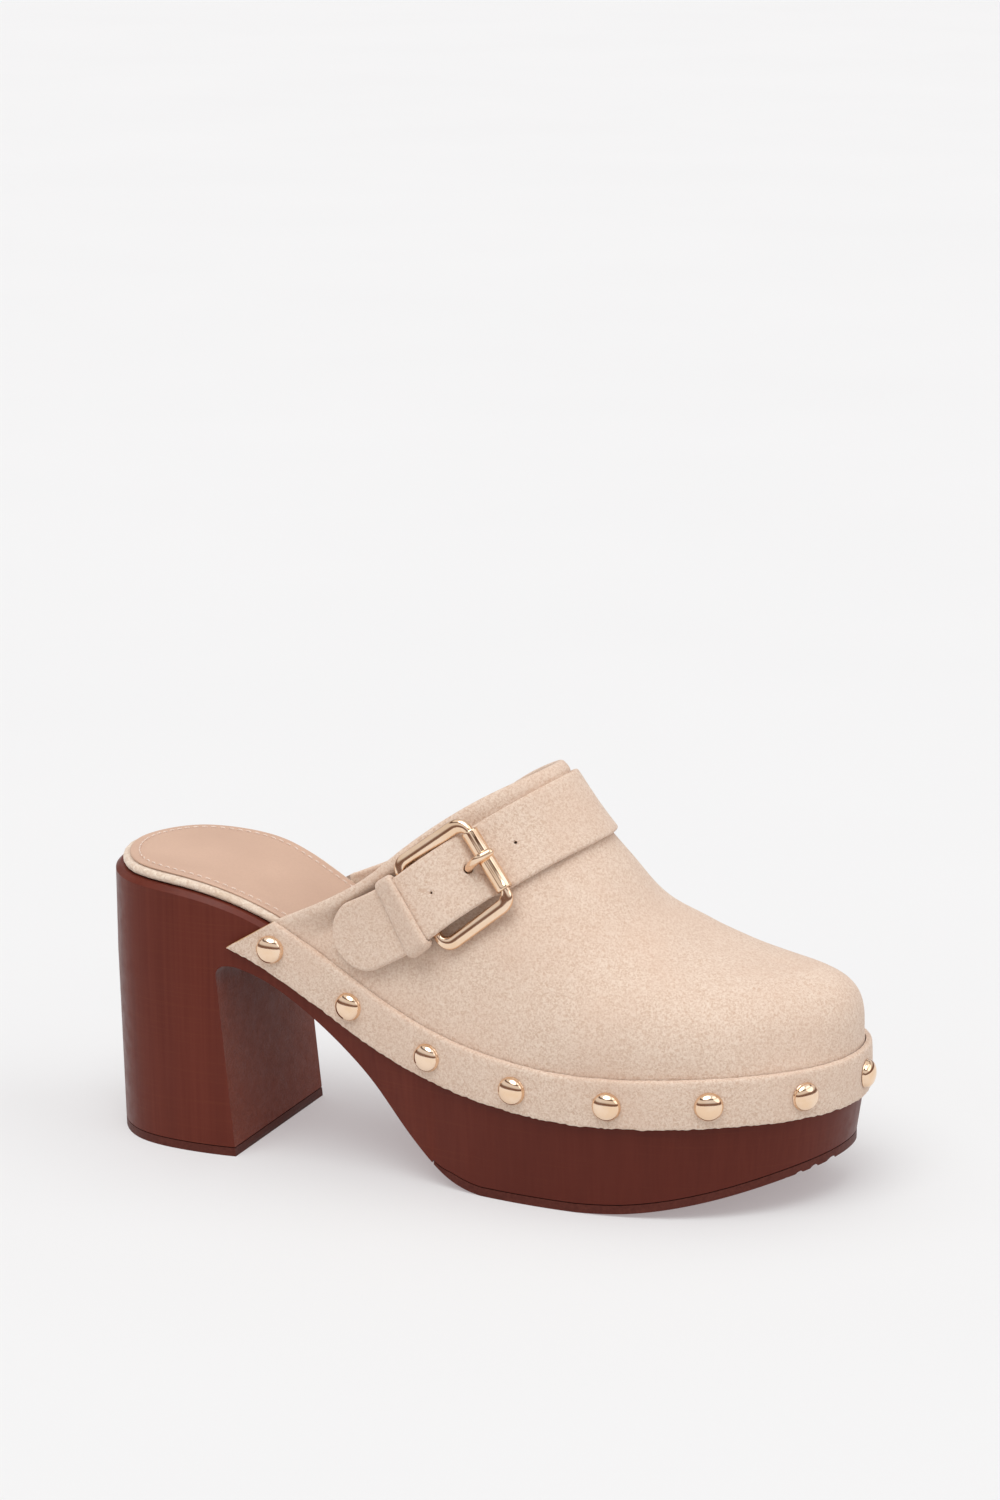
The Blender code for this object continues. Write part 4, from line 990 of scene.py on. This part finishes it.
def upper():
    """Hollow wall with a turned, rolled topline, listed creases and a soft unevenness."""
    ahead = np.linspace(0.0, 1.0, 150) ** 1.25
    across = np.concatenate((np.linspace(-1, -0.02, 90), [0.0], np.linspace(0.02, 1, 90)))
    pace = np.linalg.norm(upper_point(0.01, across) - upper_point(0.0, across), axis=-1) / 0.01
    start = (EDGE_ROLL / 2) / pace
    where = start[None] + (1 - start[None]) * ahead[:, None]
    t = np.broadcast_to(across, where.shape)
    points = upper_point(where, t)
    normals = upper_normal(where, t)
    gaps = np.linalg.norm(np.diff(points, axis=0), axis=-1)
    depth = EDGE_ROLL / 2 + np.concatenate((np.zeros((1, len(across))), np.cumsum(gaps, axis=0)))
    rise = BAND_SWELL * np.exp(-(((depth - BAND_MIDDLE) / BAND_REACH) ** 2))
    for one, two, trough, width in CREASES:
        distance = segment_distance(points, upper_point(*one), upper_point(*two))
        rise = rise - trough * np.exp(-((distance / width) ** 2))
    rise = rise + noise_waves(5, 22, 0.012, 0.045)(points) * UPPER_WAVE
    low_edge = smooth(1 - np.abs(t), 0.0, 0.05)
    rise = rise * (0.25 + 0.75 * low_edge)
    wall = UPPER_WALL + (EDGE_ROLL - UPPER_WALL) * np.exp(-((depth / BAND_FADE) ** 2))
    outer = points + normals * rise[..., None]
    inner = outer - normals * wall[..., None]
    back = unit(points[0] - points[1])
    back = unit(back - normals[0] * dots(back, normals[0])[:, None])
    middle = (outer[0] + inner[0]) / 2
    radius = (wall[0] / 2)[:, None]
    roll = []
    for turn in np.linspace(0, math.pi, 9)[1:-1]:
        roll.append(middle - normals[0] * radius * math.cos(turn) + back * radius * math.sin(turn))
    skin = Skin()
    skin.grid(np.concatenate((inner[::-1], np.stack(roll), outer)))
    # Below the rand's upper edge both faces go straight down into the rebate
    for column in (0, -1):
        foot = rand_low(x_of(vamp_angle(where[:, column]))) + RAND_OVERLAP + 4 * CLEARANCE
        skins = []
        for face in (outer[:, column], inner[:, column]):
            fall = foot - face[:, 2]
            down = [np.column_stack((face[:, :2], face[:, 2] + fall * k / 3)) for k in range(4)]
            skins.append(np.stack(down))
        bottom = np.stack((skins[0][-1], skins[1][-1]))
        for part in (*skins, bottom):
            skin.grid(part)
        rolled = np.concatenate((inner[:1, column], np.stack(roll)[:, column], outer[:1, column]))
        dropped = rolled.copy()
        dropped[:, 2] = foot[0]
        steps = [rolled + (dropped - rolled) * k / 3 for k in range(4)]
        skin.grid(np.stack(steps))
    return skin.piece("upper", "sand_suede", [SUEDE], weld=1e-5, sharp=60)


# Rand and studs


def leaned(angle, share):
    """An angle moved back low on the rand, whose ends slant."""
    x = x_of(angle)
    upright = smooth(x, VAMP_START, VAMP_START + LEAN_REACH * RAND_END_SLANT)
    return angle_at(x - RAND_END_SLANT * (1 - share) * (1 - upright))


def stud_seats():
    """Centres and outward directions, evenly spaced from each end of the rand to the one at the toe."""
    first = float(angle_at(VAMP_START))
    fine = np.linspace(first, math.pi, 161)
    seats = []
    for side in (-1, 1):
        a = leaned(fine, STUD_LINE)
        x = x_of(a)
        height = rand_low(x) + (rand_high(x) - rand_low(x)) * STUD_LINE
        points = np.column_stack((rim(a, side, np.full(len(a), CLEARANCE + RAND_WALL)), height))
        run = distances(points)
        stops = np.linspace(STUD_END_DISTANCE, run[-1], STUDS_EACH_SIDE + 1)
        found = []
        for stop in stops[: None if side < 0 else -1]:
            angle = leaned(np.interp(stop, run, fine), STUD_LINE)
            centre = np.array([np.interp(stop, run, points[:, c]) for c in range(3)])
            found.append((centre, np.array((*outward(angle, side), 0.0))))
        seats += found if side < 0 else found[::-1]
    return seats


def rand_band():
    """Strip with a pillowed face, dimples round the studs, a ragged cut edge below and raw ends."""
    first = float(angle_at(VAMP_START))
    angles = np.linspace(first, math.pi, 420)
    section = [(0.0, 0.0), (0.10, 0.0), (0.5, 0.0), (0.90, 0.0), (1.0, 0.0)]
    section += [(1.0, 0.35), (0.995, 0.66), (0.975, 0.90), (0.94, 1.0)]
    section += [(s, 1.0) for s in (0.86, 0.76, 0.64, 0.52, 0.40, 0.28, 0.16, 0.08)]
    section += [(0.03, 1.0), (0.008, 0.92), (0.0, 0.6)]
    columns = []
    ragged = noise_waves(3, 40, 0.0010, 0.0045)
    for share, out in section:
        pillow = RAND_PILLOW * math.sin(math.pi * share) * (1 if out > 0.5 else 0)
        sides = []
        for side in (-1, 1):
            a = leaned(angles, share)
            x = x_of(a)
            height = rand_low(x) + (rand_high(x) - rand_low(x)) * share
            offset = np.full(len(a), CLEARANCE + RAND_WALL * out + pillow)
            sides.append(np.column_stack((rim(a, side, offset), height)))
        columns.append(np.vstack((sides[0], sides[1][-2::-1])))
    rows = np.stack(columns, axis=1)
    seats = stud_seats()
    for k, (share, out) in enumerate(section):
        cut = 1 if share < 0.2 else 0.35 if share > 0.95 else 0
        rows[:, k, 2] += ragged(rows[:, k]) * RAND_RAGGED * cut
        if out < 0.9:
            continue
        reaches = np.array([np.linalg.norm(rows[:, k] - centre, axis=1) for centre, _ in seats])
        sink = STUD_DIMPLE * np.exp(-((reaches.min(axis=0) / STUD_DIMPLE_REACH) ** 2))
        ways = np.array([normal for _, normal in seats])[reaches.argmin(axis=0)]
        rows[:, k] -= ways * sink[:, None]
    skin = Skin()
    skin.rod(rows, slot=1)
    return skin.piece("rand_band", "sand_suede", [SUEDE, RAW])


def stud(number, centre, normal):
    """Polished dome on a thin turned lip."""
    profile = [(1.02, 0.0), (1.03, 0.05), (1.01, 0.11), (0.985, 0.16)]
    profile += [(math.cos(t), 0.16 + 0.84 * math.sin(t)) for t in np.linspace(0.22, math.pi / 2, 14)]
    up = np.array((0.0, 0.0, 1.0))
    side = np.cross(up, normal)
    base = centre + normal * CLEARANCE * 0.2
    rows = []
    for reach, rise in profile:
        flat = [side * math.cos(t) + up * math.sin(t) for t in full_turn(44)]
        rows.append([base + f * STUD_DIAMETER / 2 * reach + normal * STUD_HEIGHT * rise for f in flat])
    skin = Skin()
    skin.grid(rows, wrap=True)
    skin.fan(rows[0])
    return skin.piece(f"stud_{number:02d}", "pale_gold", [GOLD], weld=1e-6, sharp=50)


# Strap and buckle


def strap_run():
    fine = np.linspace(0, len(STRAP_ROUTE) - 1, 241)
    table = [(k, *row) for k, row in enumerate(STRAP_ROUTE)]
    spots = np.column_stack((Curve(table, 1)(fine), Curve(table, 2)(fine)))
    points = upper_point(spots[:, 0], spots[:, 1])
    return distances(points), spots


RUN, SPOTS = strap_run()


def strap_spot(along):
    return [np.interp(along, RUN, SPOTS[:, k]) for k in range(2)]


def strap_point(along, side, height):
    """Points over the upper, from distances along the strap and to one side, and a height."""
    along, side, height = np.broadcast_arrays(*(np.asarray(v, float) for v in (along, side, height)))
    where, across = strap_spot(along)
    look = 0.002
    way = unit(upper_point(*strap_spot(along + look)) - upper_point(*strap_spot(along - look)))
    walk, step = 3, 1e-3
    for _ in range(walk):
        here = upper_point(where, across)
        a = (upper_point(where + step, across) - here) / step
        b = (upper_point(where, across + step) - here) / step
        target = unit(np.cross(upper_normal(where, across), way)) * (side / walk)[..., None]
        aa, ab, bb = dots(a, a), dots(a, b), dots(b, b)
        at, bt = dots(a, target), dots(b, target)
        spread = aa * bb - ab * ab
        where = where + (at * bb - bt * ab) / spread
        across = across + (bt * aa - at * ab) / spread
    return upper_point(where, across) + upper_normal(where, across) * height[..., None]


def over_upper(point, along):
    """Height of a point over the upper, beside this place on the strap's middle line."""
    base = strap_point(along, 0.0, 0.0)
    return float(dots(point - base, upper_normal(*strap_spot(along))))


LENGTH = float(RUN[-1])
KEEPER = LENGTH - TAIL_LENGTH
BAR = KEEPER - KEEPER_WIDTH / 2 - BUCKLE_WIRE / 2 - CLEARANCE
ROLLER = BAR - BUCKLE_LENGTH
HOLE = ROLLER + PRONG_HOLE_DISTANCE
BAR_HEIGHT = 2 * CLEARANCE + BUCKLE_WIRE / 2
ROLLER_HEIGHT = 3 * CLEARANCE + STRAP_WALL + ROLLER_DIAMETER / 2


def bar_hollow():
    ends = [strap_point(BAR, side * BUCKLE_WIDTH / 2, BAR_HEIGHT) for side in (-1, 1)]
    return max(over_upper((ends[0] + ends[1]) / 2, BAR) - BAR_HEIGHT, 0.0)


KNOTS = (
    (0.0, CLEARANCE),
    (ROLLER + PRONG_HOLE / 2, CLEARANCE),
    (HOLE - PRONG_HOLE / 2 + CLEARANCE, 2 * CLEARANCE + PRONG_WIRE),
    (BAR - BUCKLE_WIRE, 3 * CLEARANCE + BUCKLE_WIRE + bar_hollow()),
    (BAR + BUCKLE_WIRE / 2, 3 * CLEARANCE + BUCKLE_WIRE + bar_hollow()),
    (KEEPER + KEEPER_WIDTH / 2, 2 * CLEARANCE + KEEPER_WALL),
    (LENGTH, 2 * CLEARANCE),
)


def under_strap(along):
    along = np.asarray(along, float)
    height = np.full(along.shape, KNOTS[0][1])
    for (a, low), (b, high) in zip(KNOTS, KNOTS[1:]):
        height = height + (high - low) * smooth(along, a, b)
    return height


def strap_section(half, thickness, edge_radius, low):
    """Closed loop of (side, height) round a flat strip with round edges."""
    flat = np.linspace(-1, 1, 15)
    turns = np.linspace(-math.pi / 2, math.pi / 2, 7)[1:-1]
    reach = max(half - edge_radius, 1e-5)
    loop = [(s * reach, low) for s in flat]
    loop += [(reach + math.cos(t) * edge_radius, low + thickness * (1 + math.sin(t)) / 2) for t in turns]
    loop += [(s * reach, low + thickness + STRAP_CROWN * (1 - s * s)) for s in flat[::-1]]
    loop += [(-reach - math.cos(t) * edge_radius, low + thickness * (1 - math.sin(t)) / 2) for t in turns]
    return np.array(loop)


def hole_cutter(name, along, radius):
    low = strap_point(along, 0.0, 0.0)
    high = strap_point(along, 0.0, CUTTER_REACH)
    way = unit(high - low)
    across = unit(np.cross(way, (0.0, 0.0, 1.0)))
    other = np.cross(way, across)
    ring = np.array([across * math.cos(t) + other * math.sin(t) for t in full_turn(18)]) * radius
    skin = Skin()
    skin.rod(np.stack((low + ring, high + ring)))
    return skin.build(name, [SUEDE], weld=1e-7)


def instep_strap():
    """Strap with a rounded tail, its prong hole and two spare pinholes."""
    body = np.linspace(0.0, LENGTH - TAIL_ROUND, 210)
    tail = LENGTH - TAIL_ROUND * (1 - np.sin(np.linspace(0, math.pi / 2, 26)[1:]))
    stops = np.concatenate((body, tail))
    rows = []
    for along in stops:
        left = max(LENGTH - along, 0.0) / TAIL_ROUND
        round_off = math.sqrt(max(1 - (1 - left) ** 2, 0.0)) if left < 1 else 1.0
        half = max(STRAP_WIDTH / 2 * round_off, STRAP_TIP)
        loop = strap_section(half, STRAP_WALL, min(STRAP_EDGE, half * 0.8), float(under_strap(along)))
        rows.append(strap_point(along, loop[:, 0], loop[:, 1]))
    skin = Skin()
    skin.rod(rows)
    obj = skin.build("instep_strap_look", [SUEDE], weld=1e-6, sharp=60)
    cutters = [
        hole_cutter("prong_cut", HOLE, PRONG_HOLE / 2),
        hole_cutter("punched_cut_1", HOLE + TAIL_PINHOLE_DISTANCE, PINHOLE_RADII[0]),
        hole_cutter("punched_cut_2", ROLLER - FRONT_PINHOLE_DISTANCE, PINHOLE_RADII[1]),
    ]
    for cutter in cutters:
        cut = obj.modifiers.new(cutter.name, "BOOLEAN")
        cut.operation = "DIFFERENCE"
        cut.solver = "EXACT"
        cut.object = cutter
    bpy.context.view_layer.update()
    graph = bpy.context.evaluated_depsgraph_get()
    done = bpy.data.meshes.new_from_object(obj.evaluated_get(graph))
    obj.modifiers.clear()
    obj.data = done
    for cutter in cutters:
        bpy.data.objects.remove(cutter)
    return place(obj, "sand_suede", "instep_strap")


def strap_keeper():
    """Loop of suede with soft edges, round the strap."""
    half = STRAP_WIDTH / 2 + CLEARANCE
    widths = np.sin(np.linspace(-math.pi / 2, math.pi / 2, 19)) / 2
    rows = []
    for w in widths:
        swell = max(1 - (2 * abs(w)) ** 5, 0.0) ** 0.5
        along = KEEPER + KEEPER_WIDTH * w
        low = float(under_strap(along))
        inner = strap_section(half, STRAP_WALL + 2 * CLEARANCE, STRAP_EDGE, low - CLEARANCE)
        wall = KEEPER_WALL * (0.30 + 0.80 * swell)
        tall = STRAP_WALL + 2 * (CLEARANCE + wall)
        outer = strap_section(half + wall, tall, KEEPER_EDGE, low - CLEARANCE - wall)
        rows.append([strap_point(along, section[:, 0], section[:, 1]) for section in (outer, inner)])
    skin = Skin()
    skin.sleeve(*np.swapaxes(rows, 0, 1))
    return skin.piece("strap_keeper", "sand_suede", [SUEDE], weld=1e-7, sharp=70)


def buckle_corners():
    """Four corners in one plane: the bar's end, the roller's two, the bar's other end."""
    near, far = BUCKLE_SHIFT - BUCKLE_WIDTH / 2, BUCKLE_SHIFT + BUCKLE_WIDTH / 2
    corners = [
        strap_point(BAR, near, BAR_HEIGHT),
        strap_point(ROLLER, near, ROLLER_HEIGHT),
        strap_point(ROLLER, far, ROLLER_HEIGHT),
        strap_point(BAR, far, BAR_HEIGHT),
    ]
    normal = unit(np.cross(corners[1] - corners[0], corners[3] - corners[0]))
    twist = float(np.dot(corners[2] - corners[0], normal)) / 4
    return [corner + normal * (twist if k % 2 else -twist) for k, corner in enumerate(corners)]


def wire(path, radii, sides):
    """Rings of a round wire along a path."""
    path = np.asarray(path, float)
    count = len(path)
    radii = np.broadcast_to(radii, (count,))
    rings = []
    across = None
    for k in range(count):
        way = unit(path[min(k + 1, count - 1)] - path[max(k - 1, 0)])
        if across is None:
            across = np.cross(way, (0.0, 0.0, 1.0) if abs(way[2]) < 0.9 else (1.0, 0.0, 0.0))
        across = unit(across - way * np.dot(across, way))
        other = np.cross(way, across)
        ring = [across * math.cos(t) + other * math.sin(t) for t in full_turn(sides)]
        rings.append(path[k] + np.array(ring) * radii[k])
    return np.array(rings)


def buckle_frame():
    """A closed cast frame with round corners, wider on its two sides."""
    corners = buckle_corners()
    normal = unit(np.cross(corners[1] - corners[0], corners[3] - corners[0]))
    path = []
    widths = []
    for k, corner in enumerate(corners):
        before, after = corners[k - 1], corners[(k + 1) % 4]
        back, on = unit(before - corner), unit(after - corner)
        centre = corner + (back + on) * BUCKLE_CORNER
        for turn in np.linspace(0, math.pi / 2, 15):
            arm = on * math.cos(turn) + back * math.sin(turn)
            path.append(centre - arm * BUCKLE_CORNER)
            share = float(smooth(math.sin(turn) if k in (0, 2) else math.cos(turn), 0.0, 1.0))
            widths.append(BUCKLE_WIRE + (BUCKLE_FACE - BUCKLE_WIRE) * share)
        reach = after + unit(corner - after) * BUCKLE_CORNER
        leave = path[-1]
        path += [leave + (reach - leave) * share for share in np.linspace(0, 1, 8)[1:-1]]
        widths += [widths[-1]] * 6
    path = np.array(path)
    way = unit(np.roll(path, -1, axis=0) - np.roll(path, 1, axis=0))
    across = np.cross(normal, way)
    wide, tall = np.cos(full_turn(36)), np.sin(full_turn(36))
    wide = np.sign(wide) * np.abs(wide) ** 0.86
    tall = np.where(tall > 0, tall**1.15, -np.abs(tall) ** 0.9)
    half_widths = wide[None] * np.array(widths)[:, None] / 2
    rings = path[:, None] + across[:, None] * half_widths[..., None]
    rings = rings + normal * (tall * BUCKLE_WIRE / 2)[None, :, None]
    skin = Skin()
    skin.grid(np.concatenate((rings, rings[:1])), wrap=True)
    return skin.piece("buckle_frame", "pale_gold", [GOLD], weld=1e-6, sharp=60)


def buckle_roller():
    """Ridged sleeve with plain raised ends, loose on the frame's front bar."""
    _, one, two, _ = buckle_corners()
    middle, way = (one + two) / 2, unit(two - one)
    shares = [-0.5, -0.494, -0.48, -0.46, -0.44, -0.2, 0.0, 0.2, 0.44, 0.46, 0.48, 0.494, 0.5]
    swell = [0.93, 0.985, 1.0, 1.0, 0.985, 0.985, 0.985, 0.985, 0.985, 1.0, 1.0, 0.985, 0.93]
    path = [middle + way * ROLLER_LENGTH * share for share in shares]
    outside = wire(path, [ROLLER_DIAMETER / 2 * s for s in swell], ROLLER_RIBS * 4)
    inside = wire(path, BUCKLE_WIRE / 2 + ROLLER_CLEARANCE, ROLLER_RIBS * 4)
    for k in range(4, 9):
        outside[k, ::4] += (path[k] - outside[k, ::4]) * ROLLER_RIB_DEPTH
    skin = Skin()
    skin.sleeve(outside, inside)
    return skin.piece("buckle_roller", "pale_gold", [GOLD], weld=1e-7, sharp=45)


def buckle_prong():
    """From beside the hidden bar, up through the strap's hole and over the roller."""
    radius = PRONG_WIRE / 2
    low = CLEARANCE + radius
    _, one, two, _ = buckle_corners()
    over = over_upper((one + two) / 2, ROLLER) + ROLLER_DIAMETER / 2 + CLEARANCE + radius
    knots = [(BAR - BUCKLE_WIRE / 2 - CLEARANCE, low), ((BAR + HOLE) / 2, low)]
    knots += [(HOLE - run * radius, low + (over - low) * rise) for run, rise in PRONG_CLIMB]
    knots += [(ROLLER - run * radius, over + rise * radius) for run, rise in PRONG_TIP]
    table = [(k, *knot) for k, knot in enumerate(knots)]
    steps = np.linspace(0, len(knots) - 1, 60)
    path = strap_point(Curve(table, 1)(steps), 0.0, Curve(table, 2)(steps))
    tip = np.clip((steps[-1] - steps) / 0.35, 0.0, 1.0)
    radii = radius * np.sqrt(np.maximum(1 - (1 - tip) ** 2, 0.02))
    skin = Skin()
    skin.rod(wire(path, radii, 20))
    return skin.piece("buckle_prong", "pale_gold", [GOLD], weld=1e-7, sharp=60)


# Light, floor and camera


def stage():
    mesh = bpy.data.meshes.new("floor")
    far = 30.0
    corners = [(-far, -far, 0), (far, -far, 0), (far, far, 0), (-far, far, 0)]
    mesh.from_pydata(corners, [], [(0, 1, 2, 3)])
    mesh.materials.append(glowing_floor())
    floor = add("floor", mesh)


def sun(name, azimuth, elevation, strength, spread, tint):
    data = bpy.data.lights.new(name, "SUN")
    data.energy = strength
    data.angle = math.radians(spread)
    data.color = tint
    add(name, data).rotation_euler = (math.radians(90 - elevation), 0.0, math.radians(azimuth))


def sky():
    """Soft studio surround with two darker bands that polished metal mirrors."""
    world = bpy.data.worlds.new("studio")
    bpy.context.scene.world = world
    world.use_nodes = True
    tree = world.node_tree
    where = tree.nodes.new("ShaderNodeTexCoord").outputs["Generated"]
    split = tree.nodes.new("ShaderNodeSeparateXYZ")
    tree.links.new(where, split.inputs[0])
    ramp = tree.nodes.new("ShaderNodeValToRGB")
    tree.links.new(split.outputs["Z"], ramp.inputs[0])
    bands = ramp.color_ramp.elements
    for band, (height, tint) in zip(bands, SKY_BANDS):
        band.position, band.color = height, (*tint, 1.0)
    for height, tint in SKY_BANDS[2:]:
        bands.new(height).color = (*tint, 1.0)
    tree.links.new(ramp.outputs[0], tree.nodes["Background"].inputs["Color"])
    tree.nodes["Background"].inputs["Strength"].default_value = SKY_GLOW


def camera():
    data = bpy.data.cameras.new("photo_view")
    data.sensor_width = 36.0
    data.lens = FOCAL_LENGTH
    data.shift_y = CAMERA_SHIFT
    data.clip_end = 200.0
    obj = add("photo_view", data)
    obj.location = CAMERA_PLACE
    obj.rotation_euler = (math.radians(90 - CAMERA_TILT), 0.0, math.radians(CAMERA_TURN))
    bpy.context.scene.camera = obj


bpy.context.scene.view_settings.view_transform = "Standard"
camera()
stage()
sky()
sun("key", 0, 64, 1.50, 45, (1.0, 0.99, 0.985))
sun("fill", 95, 38, 0.5, 50, (0.99, 0.985, 1.0))

sole_unit()
heel_top_piece()
forefoot_outsole()
insole_board()
sock_lining()
sock_stitches()
upper()
rand_band()
for number, (centre, normal) in enumerate(stud_seats(), start=1):
    stud(number, centre, normal)
instep_strap()
strap_keeper()
buckle_frame()
buckle_roller()
buckle_prong()

bpy.context.view_layer.update()
